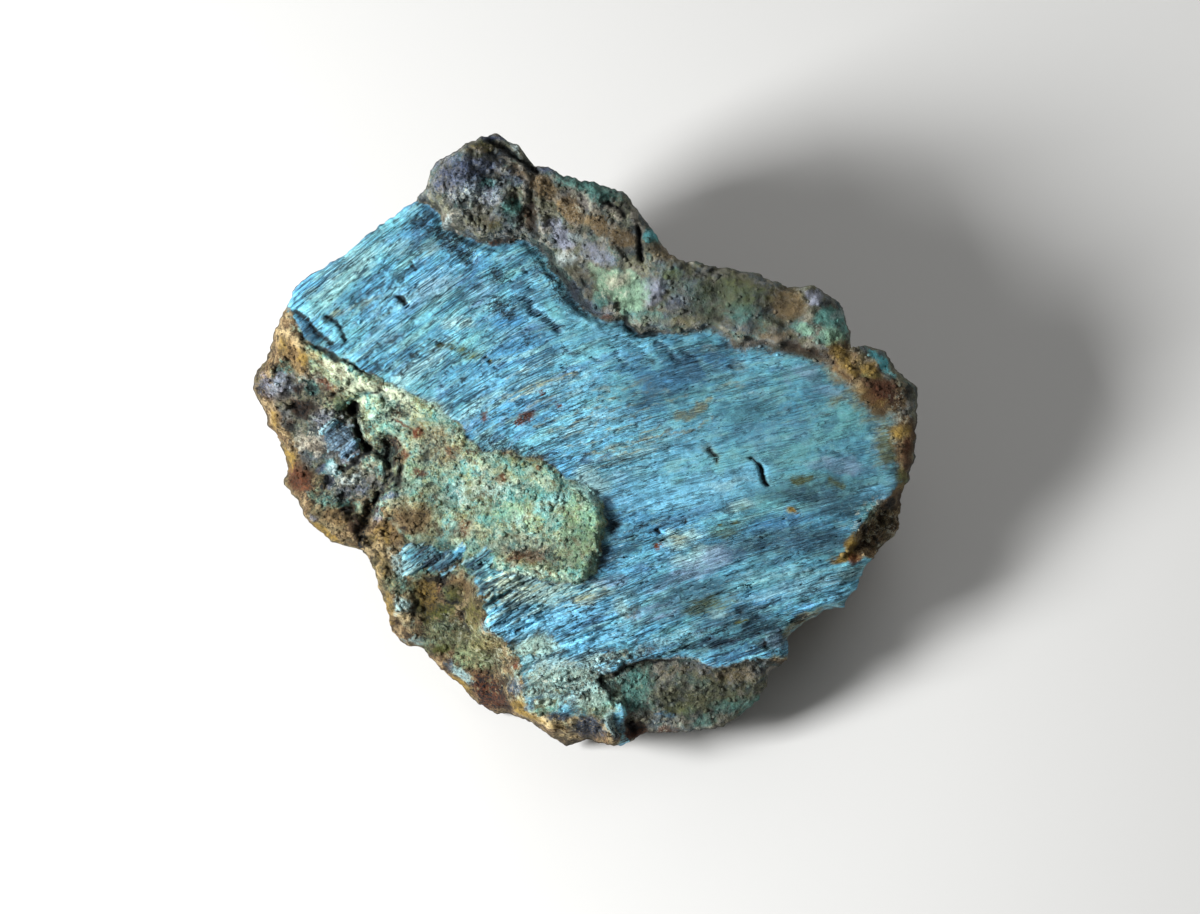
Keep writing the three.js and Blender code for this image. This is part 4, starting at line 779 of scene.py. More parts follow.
        (-4, 25.4, 1.9, 1, -35, 1), (-1.2, 23.2, 2, 1, -35, 1), (1.4, 21.6, 1.8, 0.9, -30, 1),
        (3.9, 20.4, 1.6, 0.9, -25, 0.9), (-6.6, 26.8, 1.4, 0.7, -30, 0.7), (8, 18.8, 1.8, 0.8, -20, 0.6),
        (12.6, 16, 3, 0.8, -10, 0.3), (20.2, 13.6, 1.9, 1.8, 0, 0.9), (19, 10.6, 2.6, 0.5, 0, 0.6),
        (8, 12, 3, 0.5, -5, 0.5), (0.5, 20.6, 1, 0.6, 0, 0.3), (-10.2, 29.2, 1.6, 0.6, 10, 0.6),
        (-6, -1.4, 2.6, 0.7, -20, 0.5), (-7.4, -10.6, 4.8, 1.7, -12, 0.35),
        (-24.4, 12.9, 2.4, 0.3, 20, 0.6), (-21.8, 14, 2.4, 0.3, 35, 0.5), (-3.6, 4, 6, 0.35, 24, 0.5),
        (14.5, 5.4, 2.2, 0.5, 24, 0.5), (26.4, 4.4, 2.4, 0.5, 15, 0.7), (30.2, 0, 1.5, 2.8, 0, 0.8),
        (28.6, 2.6, 1.6, 0.7, 20, 0.5), (27.6, 4.4, 1.6, 1.2, -30, 0.7), (22.6, 8.9, 2.4, 0.7, -20, 0.6),
        (25.4, 6.6, 1.8, 0.9, -40, 0.7), (29.4, 2.6, 1.2, 1.4, 0, 0.6), (6, 6.2, 1.4, 0.3, 15, 0.4),
        (12.6, 9.2, 1, 0.5, 0, 0.5), (15.5, 7.8, 0.9, 0.8, 0, 0.5), (-1.5, -21.8, 1.2, 0.3, 5, 0.7),
        (1.5, -15.2, 2.4, 0.5, 14, 0.6), (-5.6, -14.9, 2.6, 0.5, 14, 0.4), (16, -16.6, 2.6, 0.4, 14, 0.3),
        (-29, 8.4, 1, 1.8, 20, 1), (-11, -17, 1, 1.8, 5, 0.4), (14, -23.4, 3.6, 0.8, 0, 0.6),
        (9, -23, 2, 0.6, 0, 0.5), (19.6, -21.7, 1.2, 0.6, 0, 0.9), (21.2, -18.2, 1.6, 0.5, 35, 0.8),
        (-17.8, -7.4, 2.8, 2.2, 0, 0.7), (-12.4, -14.6, 1.4, 1.4, 0, 0.7),
        (-25.2, -7.6, 1.8, 0.9, -20, 0.7), (-15.2, 0.4, 4.2, 2, -35, 0.55),
        (-15.6, -9.8, 1.8, 1.2, 30, 0.5), (-10, -20.3, 2, 0.7, 0, 0.5), (-26.6, 8.2, 1, 0.5, -30, 0.6),
        (-30, 4.4, 1.8, 0.8, 0, 0.5)],
    "gold": [
        (26.2, 8.4, 2.4, 0.8, -38, 0.7), (28.6, 7.4, 1.4, 1, -40, 0.7), (28.2, 4.6, 2, 0.8, -30, 0.5),
        (26.9, -10.2, 0.7, 1.2, -20, 1), (25.8, -11.7, 1.4, 0.5, 5, 1), (31.7, 0.8, 1.1, 0.9, 0, 0.8),
        (20.7, -6.9, 0.4, 0.4, 0, 1), (-4.8, -1.6, 0.9, 0.5, 0, 0.6), (-15.8, -15.6, 1.3, 2, 10, 0.85),
        (-5.8, -27.2, 1.6, 0.5, -25, 0.9), (-30.2, 9.6, 0.7, 1, 20, 0.6), (-28, 8.4, 0.6, 1.4, 10, 0.7),
        (-6.5, -26.2, 0.9, 0.5, 0, 0.9), (-30.2, -1.5, 0.7, 1.5, 15, 0.8),
        (-26.2, -9.2, 1.8, 0.4, -35, 0.8), (-20.2, -9.4, 1.4, 1.2, 0, 0.5), (-20, -13, 0.9, 2.4, 15, 0.4),
        (-13, -24.4, 0.5, 1.6, 50, 0.9), (-19.8, -16.6, 0.5, 1.8, 10, 0.6),
        (-2.8, -28.4, 1.2, 0.5, -20, 0.5), (30, 3.9, 0.8, 0.5, 0, 0.6), (-31.2, 2, 0.6, 1.2, 20, 0.6)],
    "rust": [
        (-5.7, 2.5, 1.1, 0.5, 10, 1), (-6.3, 2.3, 0.6, 0.5, 0, 1), (-10, 2.4, 0.7, 0.3, 40, 0.8),
        (-9.5, 3.1, 0.25, 0.3, 0, 0.7), (-4.1, 4.6, 0.3, 0.5, 30, 0.7), (-3.7, 5.5, 0.2, 0.4, 10, 0.6),
        (-2.4, 3.7, 0.35, 0.25, 0, 0.8), (-16.5, 0.9, 0.5, 0.5, -30, 1), (30.8, 5.2, 1.4, 1.1, 0, 0.4),
        (28.9, 5.2, 1, 0.6, 0, 0.3), (32.7, -1, 0.6, 1.8, 0, 0.4), (7.6, -10.5, 0.45, 0.4, 0, 1),
        (27, -11.8, 0.6, 0.4, 0, 0.8), (-9.7, -25.3, 2.2, 1.6, -30, 0.9), (30.2, 5, 2, 1.6, 0, 0.6),
        (-10.2, -26.6, 1, 0.8, 0, 0.8), (5, -29.3, 2.2, 0.8, 10, 0.6), (8.4, -29, 1.4, 0.5, 0, 0.6),
        (-6.9, -22.4, 0.3, 0.4, 0, 0.9), (-8.4, -3.6, 0.7, 0.4, 0, 0.6), (-16.2, -3.2, 0.8, 0.5, 0, 0.8),
        (-17.5, -1.3, 0.7, 0.3, 0, 0.8), (-18.7, 3.7, 0.5, 0.4, 0, 0.5), (-25.6, 5.8, 1.2, 0.6, -10, 0.8),
        (-28.5, -4.2, 1.2, 1.4, 0, 0.6), (-29.6, -3.4, 0.9, 1.2, 0, 0.5), (2.3, 12.5, 0.8, 0.3, 0, 0.7),
        (-5.4, -11.4, 3, 1.2, -10, 0.6), (-13.1, -0.9, 0.8, 0.7, 0, 0.7), (-12, -8.6, 1, 1, 0, 0.6),
        (-15.2, -1.6, 2.2, 1.4, -30, 0.4), (-4.5, -3, 0.4, 0.3, 0, 0.7), (-8.3, -3.4, 0.5, 0.3, 0, 0.8),
        (-7.4, -1.1, 0.5, 0.25, 0, 0.6), (-19, -0.2, 0.9, 0.6, 0, 0.7), (-17.9, -1.4, 0.5, 0.8, 0, 0.6),
        (-9.3, 20.1, 0.7, 0.25, 0, 0.7), (-14.6, -14.6, 0.3, 0.8, 0, 0.5)],
    "brown": [
        (-10.6, -1.2, 3, 1.2, -20, 0.5), (-6.4, -10.6, 4.2, 1.6, -10, 0.45),
        (-14.6, 0.4, 2.6, 1.4, -35, 0.6), (-15.4, -5.4, 2.4, 2, 0, 0.5), (-19.4, -1, 1.9, 1.5, 0, 0.8),
        (-18.9, 2.8, 1.2, 0.9, 0, 0.7), (-19.4, 0.2, 1.2, 0.4, 0, 0.8), (-18.6, -4.2, 1.4, 1.8, 0, 0.6),
        (-17.8, -7.4, 2.4, 1.8, 0, 0.45), (-18.3, -8.6, 0.7, 0.6, 0, 0.7),
        (-11.8, -8.4, 0.8, 0.9, 0, 0.7), (-12.6, -14.4, 1.4, 1.2, 0, 0.35),
        (-23.4, 3.2, 0.9, 0.9, 0, 0.9), (-28.2, 3.5, 1.4, 1.2, 0, 1), (21.8, 9.3, 2.6, 0.7, -10, 0.8),
        (-28.8, 5.4, 0.6, 0.5, 0, 0.8), (-25.2, 5, 1.6, 0.9, 0, 0.6), (-29.6, 1.8, 0.6, 0.9, 0, 0.7),
        (-26.4, -0.8, 1.2, 0.6, -20, 0.6), (-28.6, -3.6, 1.6, 1.8, 0, 0.8), (-23.8, -7, 0.8, 0.6, 0, 0.9),
        (-22.8, -8.4, 0.9, 0.8, 0, 0.9), (-12.6, 0.2, 1.5, 0.6, 0, 0.4), (-8, -0.9, 2, 0.4, 0, 0.5),
        (-4, -2.3, 1.6, 0.5, 0, 0.4), (-12, -8.6, 1.4, 1, 0, 0.6), (-5.8, -11.4, 2.8, 1, -8, 0.7),
        (-3.8, -13.2, 1, 0.6, 0, 0.7), (24.6, 8.8, 1.4, 0.3, -30, 0.3), (28, 6.2, 1.2, 0.8, -40, 0.5),
        (30, 5.2, 1.8, 1.3, 0, 0.6), (29.8, 3, 0.9, 0.8, 0, 0.5), (29.6, -7.8, 2.6, 2.4, 0, 0.2),
        (31.4, -5.6, 1.4, 1.6, 0, 0.6), (23.6, -17.2, 2.4, 0.4, 22, 0.7),
        (-13.8, 28.8, 1.4, 0.7, 20, 0.6), (-5.2, 22.8, 0.8, 1.8, 0, 0.7), (-9.4, 21.8, 1.2, 0.8, 0, 0.5),
        (13.8, 14.6, 2.4, 1, -10, 0.3), (5, -28.8, 1.6, 1.2, 0, 1), (-8, -26.2, 1, 1, 0, 0.7),
        (33, -0.4, 0.6, 2.6, 0, 0.7), (-1.2, -24.4, 0.8, 0.4, 0, 0.7), (-18, -10, 1.4, 0.8, 0, 0.4)],
    "olive": [
        (-16.4, -16.2, 1.2, 2, 5, 0.8), (-14.8, -17.2, 1.9, 1.2, 0, 0.9), (-13.2, -15.3, 1.3, 1, 0, 0.7),
        (-14.6, -21.2, 1, 0.6, 0, 0.8), (-11.2, -17.6, 1.2, 2.2, 0, 0.55),
        (-10, -20.6, 2.4, 1.4, -20, 0.5), (30.4, -0.6, 1.4, 2.2, 0, 0.5), (-24.6, 4.6, 1.6, 0.8, 0, 0.5),
        (15.9, -18.1, 0.9, 0.4, 10, 0.9), (12, -16, 2.4, 0.8, 20, 0.55), (14.2, -9.1, 1.3, 0.8, 0, 0.5),
        (13.4, -7.9, 0.3, 0.25, 0, 0.8), (15, -7.8, 0.4, 0.2, 0, 0.8), (16, -6.9, 0.5, 0.4, 0, 0.5),
        (25.6, -4.4, 0.9, 0.6, 0, 0.5), (21.9, -3.7, 1.1, 0.5, 0, 0.6), (11, -25, 6, 2.6, 0, 0.45),
        (10.5, -25.5, 1.8, 1, 10, 0.5), (15, 15, 5, 2, -8, 0.5), (10.6, 12.6, 2.6, 1, 0, 0.4),
        (-23.4, 3.3, 0.9, 0.8, 0, 0.7), (-10, 29.4, 1.4, 0.5, 0, 0.5), (8.6, 16.4, 0.9, 0.6, 0, 0.6),
        (32, -3.4, 0.8, 1.2, 0, 0.7), (29.4, 6.6, 0.8, 0.5, 0, 0.6), (-8.8, 21.4, 1, 0.7, 0, 0.5),
        (-12.2, 9.2, 3.2, 0.5, -18, 0.4), (-6.6, -1.7, 2.4, 0.6, -15, 0.45),
        (-15.6, -6.4, 1.6, 1.6, 0, 0.3), (14, -8.8, 2.2, 0.8, 5, 0.35), (12.6, -16.2, 3.4, 0.9, 12, 0.6),
        (9.6, -26.4, 2.2, 1, 30, 0.6), (13.4, -24.6, 1.6, 0.8, 20, 0.5)],
    "dull": [
        (21, 0.5, 14, 10, 5, 0.95), (9, 6, 8, 5, -10, 0.8), (12, 14, 16, 5, -15, 0.9),
        (25, -9, 6, 4, 10, 0.6), (10, -4, 8, 3, 15, 0.7), (0, 12, 5, 4, -35, 0.7),
        (13, -14, 10, 4, 12, 0.6), (11, -25.4, 6, 2.6, 0, 0.5)],
    "pepper": [
        (-13.5, 20.2, 2.8, 1.3, -35, 1), (-16.4, 22.2, 1.2, 0.9, 30, 1),
        (-11.6, 18.6, 1.8, 0.9, -40, 0.9), (-8.5, 16.5, 1.1, 0.9, 0, 1), (-8.6, 13.6, 1.3, 1, 0, 1),
        (-7.6, 12.5, 1.2, 0.7, -20, 0.9), (-5.6, 10.2, 1, 1, 0, 0.7), (-4.4, 18.4, 1.2, 1.9, 0, 0.8),
        (-2.6, 15.4, 2.2, 0.9, -45, 0.9), (0.4, 13.4, 1.9, 0.8, -30, 0.9), (-8, 20.5, 3.6, 0.9, 0, 0.9),
        (3.2, 12, 1.8, 0.7, -30, 0.6), (-0.5, -24.5, 3.4, 1.8, 0, 0.8), (-6.6, -15.5, 2.4, 1.2, 10, 0.5),
        (3, -21.6, 5, 1.1, 12, 0.9), (10, -19.6, 6.5, 0.9, 12, 0.6), (-10.5, 3, 2.4, 1.2, 0, 0.5),
        (-27.4, 3.4, 3.2, 3, 0, 0.7), (-19.8, -0.8, 1.8, 1.5, 0, 0.9), (-19, 3, 2.2, 1.3, 0, 0.8),
        (29.6, -8, 2.8, 2.8, 0, 0.5), (-3.6, -10.6, 4, 1.6, 0, 0.6), (-16, -11.5, 2.8, 1.3, 35, 0.6),
        (-11, -12, 2, 1.3, 30, 0.5), (-7.6, -0.6, 4.6, 0.8, -15, 0.8), (-15, -2, 3, 3.8, 0, 0.6),
        (-25, -5, 4, 2, 0, 0.7), (-25.6, 0.6, 3.4, 3.4, 0, 0.6), (-15, -16.5, 2.6, 2.8, 0, 0.6),
        (-9.6, -25.4, 2.6, 2, 0, 1), (-10.6, 25, 3.6, 3, 0, 0.6), (6, -9, 2.6, 1.2, 20, 0.5),
        (14.4, -8.4, 2.4, 1, 0, 0.5), (-22.6, 12.6, 2, 0.8, 38, 0.5), (10, -25, 5, 2, 0, 0.5),
        (-5.6, 2.4, 1.4, 0.8, 0, 0.7), (4.4, -28.8, 2.4, 1.2, 0, 0.8)],
    "salt": [
        (-27.4, -0.1, 2, 1.3, 0, 0.9), (-24, -3.8, 2.6, 1.1, 10, 0.9), (-25.4, 1, 2.6, 2.6, 0, 0.5),
        (29.6, -8.4, 2.8, 2.8, 0, 1), (32, 4, 1.4, 2.2, 0, 0.6), (-11.4, 24, 2.6, 1.5, 0, 0.8),
        (-13, -19, 2.4, 1.6, 0, 0.7), (-6, -9.4, 3.4, 1.4, 0, 0.5), (10, -25, 4.5, 1.8, 0, 0.4),
        (2.8, 15.4, 1.8, 1.3, 0, 0.7), (-2, -24, 5, 2.2, 0, 0.7), (-20, 5, 4.2, 1.1, -10, 0.5),
        (8.5, -28.6, 1.8, 0.6, 0, 0.8), (21.5, -18.4, 2, 0.5, 35, 0.8), (0, 23.8, 2, 1.2, -30, 0.6),
        (-10, -5, 4, 2.2, 0, 0.6), (-18, -5, 1.6, 2, 0, 0.4), (-9.4, -21, 2.4, 1.6, 0, 0.5),
        (-22, 1.2, 1.2, 1.4, 0, 0.5)],
    # The shade stain is painted shade: it darkens the colour to 0.55 at most on the right half, along the
    # ridge and its foot, and in pits, and in places darker rock.
    "shade": [
        (19, 3, 14, 6, 5, 0.4), (11.5, 8.2, 5, 3.6, -10, 0.6), (-15.2, 20.2, 2.2, 1.5, 0, 0.8),
        (14, 14.5, 8, 3.6, -12, 0.9), (0.2, 15.2, 3.6, 2.4, -45, 1), (0.6, 24.6, 5, 1.8, -25, 0.9),
        (22, -10, 7.5, 2.8, 8, 0.5), (10.5, -15.4, 6.5, 1.6, 15, 0.4), (16, -19.4, 6, 2.4, 10, 0.9),
        (25, -5, 5.5, 2.4, 0, 0.75), (-15.8, -16, 2, 2.8, 0, 0.8), (-9.6, -25.4, 2.4, 1.9, 0, 1),
        (30.5, 4.6, 2.8, 2.8, 0, 0.8), (29.6, -8, 3.2, 3, 0, 0.2), (-24.4, -7, 3.8, 2, 0, 0.7),
        (-28.8, 3.6, 2.8, 3.2, 0, 0.5), (-20, -0.8, 2, 1.8, 0, 0.8), (-17.6, -8, 2.4, 1.7, 0, 0.7),
        (-16.4, -11.8, 3, 1.2, 35, 0.5), (-10.8, -12.2, 2.2, 1.4, 30, 0.6), (-15.6, -3, 3.4, 4.6, 0, 0.4),
        (-10, 24, 6, 5, 0, 0.2), (0, 20, 3.4, 1.6, -30, 0.6), (6, 5.6, 4.4, 2.6, 15, 0.55),
        (20.4, -4.6, 4.4, 1.7, 5, 0.7), (-0.2, -10.6, 2.4, 3.2, 0, 0.7), (-30, 10, 1.6, 2.6, 20, 0.3),
        (10.4, 10, 3, 1.6, 0, 0.4), (-15, -5.4, 2.6, 2.4, 0, 0.5), (-15, -9.8, 2.4, 1.6, 30, 0.8),
        (0.4, 10, 2.4, 2, -20, 0.3), (-10.3, -15.2, 2.2, 1.8, 0, 0.8), (-14.8, -19.6, 3, 2, 0, 1),
        (-24.6, 0.2, 2.2, 2.4, 0, 0.7), (5, 20, 2.6, 2.4, 0, 0.9), (12, -25.4, 5.5, 2.8, 0, 0.7),
        (-16, -10.4, 3, 1.8, 35, 0.4), (-27, 11.2, 2, 1, -40, 0.6), (-13.2, -15.4, 1.5, 1.3, 0, 1),
        (-18.8, -3.6, 0.9, 1.6, 0, 1), (-28.2, 3.2, 1.6, 1.4, 0, 1), (-14, -12.2, 1.6, 1.2, 35, 1),
        (12.4, -27.2, 2.8, 1.2, 10, 1), (22, 9.2, 2.8, 0.9, -12, 0.9), (31.2, -2, 1.2, 2, 0, 0.8),
        (2, 21.2, 1.8, 1, -30, 0.6), (-4, 25, 1.6, 1, -30, 0.6), (-12, -17.2, 1.2, 1.4, 0, 0.5),
        (4.8, 20.8, 1.2, 2.4, 0, 0.5), (10, 10.6, 3, 0.8, 0, 0.4)],
    # Near-black spots in holes and pits: painted shade, with a few dark marks of the rock.
    "black_and_shade": [
        (-14.1, -13.8, 0.7, 0.6, 0, 0.9), (7, 7.8, 0.35, 0.3, 0, 0.7), (14.7, 7.7, 0.3, 0.35, 0, 0.8),
        (33, 5, 0.5, 1, 0, 0.7), (-19.9, -0.9, 1.2, 0.8, 0, 0.6), (-19.4, -2, 0.6, 0.5, 0, 0.8),
        (-18.9, -3.6, 0.5, 1.2, 10, 0.7), (-29.5, 1.4, 0.4, 0.6, 0, 0.7), (-27.5, 5.6, 0.5, 0.4, 0, 0.8),
        (-30.4, 2.8, 0.3, 0.4, 0, 0.8), (-26.4, -4.4, 0.5, 0.4, 0, 0.7), (-23.8, -7.1, 0.6, 0.4, 0, 0.7),
        (-28.7, 5.5, 0.4, 0.3, 0, 0.7), (-25, -2.2, 0.7, 0.2, -20, 0.7), (-29.9, 4.9, 0.3, 0.4, 0, 0.8),
        (-31.7, 3.5, 0.25, 0.3, 0, 0.6), (-23.3, 3.1, 0.7, 0.7, 0, 0.9), (21.2, -6.8, 0.25, 0.2, 0, 0.9),
        (4.8, -28.4, 0.8, 0.6, 0, 0.8), (-28.3, 3.3, 0.7, 0.5, 0, 0.5), (28.4, -8.6, 0.5, 0.5, 0, 0.8),
        (30.8, -6.2, 0.6, 0.8, 0, 0.8), (29.4, -9.9, 0.4, 0.4, 0, 0.7), (31, 7, 0.7, 0.2, -40, 0.8),
        (-18.3, -8.5, 0.4, 0.3, 0, 0.9), (4.8, 1.4, 0.25, 0.25, 0, 0.8)]}
# Where another rock lies over the vein or within the crust, in the same form.
GRANULAR_PATCHES = [
    (-2, -23.9, 5.6, 2.2, 5, 0.7), (-5, -20.4, 2.6, 1.4, 0, 0.8), (1.4, -25.8, 2.4, 1.8, 0, 1),
    (-3.6, -26.4, 1.8, 0.9, 0, 0.9), (4.6, -17, 1.2, 1.2, 15, 0.4), (2.4, -21.6, 4.6, 0.8, 12, 0.5)]
LOBE_PATCHES = [(-29.5, 4, 4.6, 4.2, 0, 1), (-27, -0.6, 5.4, 4.4, 12, 1), (-23.6, -4.2, 4.4, 2.2, 5, 1)]
EARTH_PATCHES = [
    (-20.4, -11.5, 3.2, 6, 25, 1), (-13.4, -18, 6.6, 5.4, -35, 1), (-8.6, -24.6, 4.2, 3.2, -30, 1),
    (-29.4, 9.6, 1.9, 3.4, 20, 0.9), (-17.4, -8, 3, 1.6, 0, 0.7), (-30.4, -2.4, 1.2, 3.4, 10, 1),
    (-28.4, -4.2, 1.9, 1.8, 0, 0.9), (-25.2, -8.2, 3.2, 1.8, -20, 1), (27.6, 7, 4.4, 1.7, -40, 1),
    (30.6, 4.6, 2.4, 1.9, 0, 1), (32.4, -0.4, 1.2, 3.6, 0, 0.9)]


def stained(u, v, ragged, places):
    """How strongly patches cover each place, 0 to 1: an ellipse's edge, softened, and made ragged by
    noise."""
    cover = np.zeros(len(u))
    for at_u, at_v, length, width, turn, strength in places:
        x, y = in_ellipse(u, v, (at_u, at_v), (length, width), turn)
        cover = np.maximum(cover, strength * ramp(1.5, 0.4, np.hypot(x, y) + ragged))
    return cover


def rock_shares(u, v, U, V, zones, p, below, ragged):
    """The share of vein, crust and wall rock at each point, with earth for the rest. `under` is 1 below the
    rim, where the vein is a slab a few millimetres thick and wall rock shows in streaks."""
    under = ramp(0, 1.5, below)
    soft = 1 + 3.5 * ramp(10, 20, u)
    ridge = ramp(-0.25 * soft, 0.25 * soft, zones["ridge"] + 0.3 * soft * ragged)
    crust, low, cliff = (ramp(-0.25, 0.25, zones[name] + 0.3 * ragged) for name in ("crust", "low", "cliff"))
    islands = fibrous_blocks(U, V, 0.3 * ragged)
    lobe = stained(U, V, ragged, LOBE_PATCHES) * crust
    from_rim = chipped_radius(np.arctan2(v, u)) - np.hypot(u, v)
    lip = ramp(2.6, 1.0, from_rim + ragged) * ramp(4, -4, 0.6 * u + v)
    earth = np.maximum(lip, 0.8 * ramp(-13, -16, v)) * crust
    earth = np.maximum(earth, stained(U, V, ragged, EARTH_PATCHES) * np.maximum(crust, ramp(22, 24, u)))
    slab = ramp(4.2, 2.8, below + 1.5 * noise(0.45 * p, 16)) * ramp(-1.2, 0.8, noise(0.1 * p, 17) + 1.0)
    granular = stained(U, V, ragged, GRANULAR_PATCHES)
    vein = (1 - np.maximum.reduce([ridge, crust, low, cliff, earth, granular])) * slab
    vein = np.maximum(vein, islands * (1 - under))
    crust = np.maximum(crust * (1 - earth) * (1 - lobe), granular)
    crust = crust * (1 - islands) * ramp(2.0, 0.6, below + ragged)
    wall_rock = np.maximum.reduce([ridge, low, lobe]) * (1 - islands) * (1 - earth)
    streak = noise(0.13 * p, 18) + 0.5 * noise(0.4 * p, 19)
    wall_rock = np.maximum(wall_rock * ramp(9, 3, below), under * ramp(0.0, 0.35, streak))
    return {"vein": vein, "crust": crust, "wall_rock": wall_rock}, islands


def surface_values(u, v, p, below):
    """What the materials need to know at each point p, over (u, v) and `below` millimetres under the rim:
    the share of each rock, and every stain. Below the rim, places drift with 3D noise."""
    U, V, zones = face_zones(u, v)
    under = ramp(0, 1.5, below)
    drift = 1 + 0.3 * below
    U = U + under * drift * noise(0.22 * p, 11)
    V = V + under * drift * noise(0.22 * p, 12)
    ragged = 0.28 * noise(0.9 * p, 13) + 0.22 * noise(2.2 * p, 14) + 0.16 * noise(4.6 * p, 15)
    values, islands = rock_shares(u, v, U, V, zones, p, below, ragged)
    for name, places in STAINS.items():
        values[name] = stained(U, V, ragged, places) * ramp(6, 1, below)

    def deepen(name, cover):
        values[name] = np.maximum(values[name], cover)

    stray = jag(u, v)
    for name, strokes in STROKES.items():
        edge = 0.4 if name == "black_and_shade" else 0.8
        for line, width, strength, _ in strokes:
            away = line_distance(U + stray, V - stray, line) / width + ragged
            deepen(name, strength * ramp(1 + edge, 1 - edge, away) * (1 - under))
    # In the fibre blocks, navy in the splits between bundles is painted shade, and pale on their raised
    # crests is a painted highlight.
    split = comb(u, v)
    bundle_gap_shade = (0.2 + 0.7 * ramp(-8, -12, u)) * ramp(0.0, -0.25, split)
    deepen("navy_and_shade", islands * bundle_gap_shade * (1 - under))
    deepen("pale", 0.9 * islands * ramp(0.05, 0.3, split) * (1 - under))
    # Along the cleft and the ridge's foot the colour is darkened as painted shade: near-black, dark specks,
    # teal and the shade stain.
    cleft = cleft_share(U, V, stray, 0.45) * (1 - under)
    foot = np.exp(-((zones["ridge"] - 0.35) / 0.6) ** 2) * hump(u, v, (-2.4, 16.4), (5.0, 3.4), -50)
    foot_shade_specks = foot * ramp(-0.6, -0.1, noise(1.6 * p, 53))
    for name, cover in (("black_and_shade", 0.4 * cleft), ("black_and_shade", 0.8 * foot_shade_specks), ("shade", foot), ("teal", 0.6 * foot),
                        ("pepper", cleft), ("pepper", foot)):
        deepen(name, cover)
    blotches = 0.6 * noise(0.25 * p, 51) + 0.4 * noise(0.7 * p, 52)
    deepen("teal", under * 0.8 * ramp(0.25, 0.5, blotches))
    deepen("rust", under * 0.7 * ramp(0.3, 0.5, -blotches))
    return values


def hollows(face_w, skin):
    """How far each point lies in a hollow, -1 to 1: on the face its depth under the mean height within 1 mm
    of it, and on the walls the lack of fine lumps. The material paints shade into hollows with it, and a
    painted highlight onto rises."""
    reach = 4
    window = 2 * reach + 1
    grid = face_w.reshape(FACE_CELLS + 1, FACE_CELLS + 1)
    sums = np.pad(grid, reach, mode="edge").cumsum(0).cumsum(1)
    sums = np.pad(sums, ((1, 0), (1, 0)))
    rows = sums[window:] - sums[:-window]
    total = rows[:, window:] - rows[:, :-window]
    face = (total / window ** 2 - grid).ravel() / 0.45
    return np.clip(np.concatenate([face, -fine_lumps(skin[FACE_POINTS:]) / 0.3]), -1, 1)


# What each attribute holds, three values to one.
PACKS = {
    "rock": ("vein", "crust", "wall_rock"), "blues": ("deep", "navy_and_shade", "teal"),
    "lights": ("pale", "lilac", "green"), "ochres": ("tan", "gold", "rust"),
    "darks": ("brown", "olive", "black_and_shade"), "tints": ("sky", "slate", "cream"),
    "marks": ("pepper", "salt", "shade"), "relief": ("hollow", "tone", "dull")}


def store_values(piece, values, hollow, tone, fibres):
    """Stores all that the material reads: three values to an attribute, and the fibres' own UV map."""
    everything = {**values, "hollow": hollow, "tone": tone}
    for name, members in PACKS.items():
        attribute = piece.data.attributes.new(name, "FLOAT_VECTOR", "POINT")
        pack = np.stack([everything[member] for member in members], 1)
        attribute.data.foreach_set("vector", pack.astype(np.float32).ravel())
    give_uv(piece, "fibres", fibres)


skin, skin_triangles, skin_uv = specimen_skin()
rim_height = place(*skin_uv.T, face_height(*skin_uv.T))[:, 2]
on_face = np.arange(len(skin)) < FACE_POINTS
skin_below = np.where(on_face, 0, np.maximum(0, rim_height - skin[:, 2]))
face_lift = (skin[:FACE_POINTS, 2] - CENTRE_HEIGHT) * np.cos(FACE_TILT)
# Painted shade for the hollows of the face and walls, and painted highlight for their rises.
skin_shade_and_highlight = hollows(face_lift - skin[:FACE_POINTS, 1] * np.sin(FACE_TILT), skin)
rock = make_mesh("aerinite_rock", skin, skin_triangles)
rock_values = surface_values(*skin_uv.T, skin, skin_below)
rock_fibres = np.stack([along_fibres(*skin_uv.T), across_fibres(*skin_uv.T) - 1.1 * skin_below], 1)
store_values(rock, rock_values, skin_shade_and_highlight, np.zeros(len(skin)), rock_fibres)


def node(tree, kind, inputs=None, **settings):
    """A shader node with its settings, and its inputs given as values or as the sockets that feed them."""
    made = tree.nodes.new(kind)
    for name, value in settings.items():
        setattr(made, name, value)
    for name, value in (inputs or {}).items():
        if isinstance(value, bpy.types.NodeSocket):
            tree.links.new(value, made.inputs[name])
        else:
            made.inputs[name].default_value = value
    return made


def maths(tree, operation, a, b=0.0):
    """A sum, product or other operation on two values."""
    return node(tree, "ShaderNodeMath", {0: a, 1: b}, operation=operation).outputs[0]


def span(tree, value, low, high, to_low=0.0, to_high=1.0):
    """Carries low..high smoothly to to_low..to_high."""
    inputs = {"Value": value, "From Min": low, "From Max": high, "To Min": to_low, "To Max": to_high}
    return node(tree, "ShaderNodeMapRange", inputs, interpolation_type="SMOOTHSTEP").outputs[0]


def mix(tree, factor, a, b):
    """Colour b over colour a, by a factor."""
    return node(tree, "ShaderNodeMix", {0: factor, 6: a, 7: b}, data_type="RGBA").outputs[2]


def stretched(tree, vector, scale=(1, 1, 1), offset=(0, 0, 0)):
    """A vector scaled, then moved."""
    inputs = {0: vector, 1: scale, 2: offset}
    return node(tree, "ShaderNodeVectorMath", inputs, operation="MULTIPLY_ADD").outputs[0]


def grain_noise(tree, vector, detail=2.0, roughness=0.6, scale=1.0):
    """Blender's noise, about 0.3 to 0.7."""
    inputs = {"Vector": vector, "Scale": scale, "Detail": detail, "Roughness": roughness}
    return node(tree, "ShaderNodeTexNoise", inputs).outputs[0]


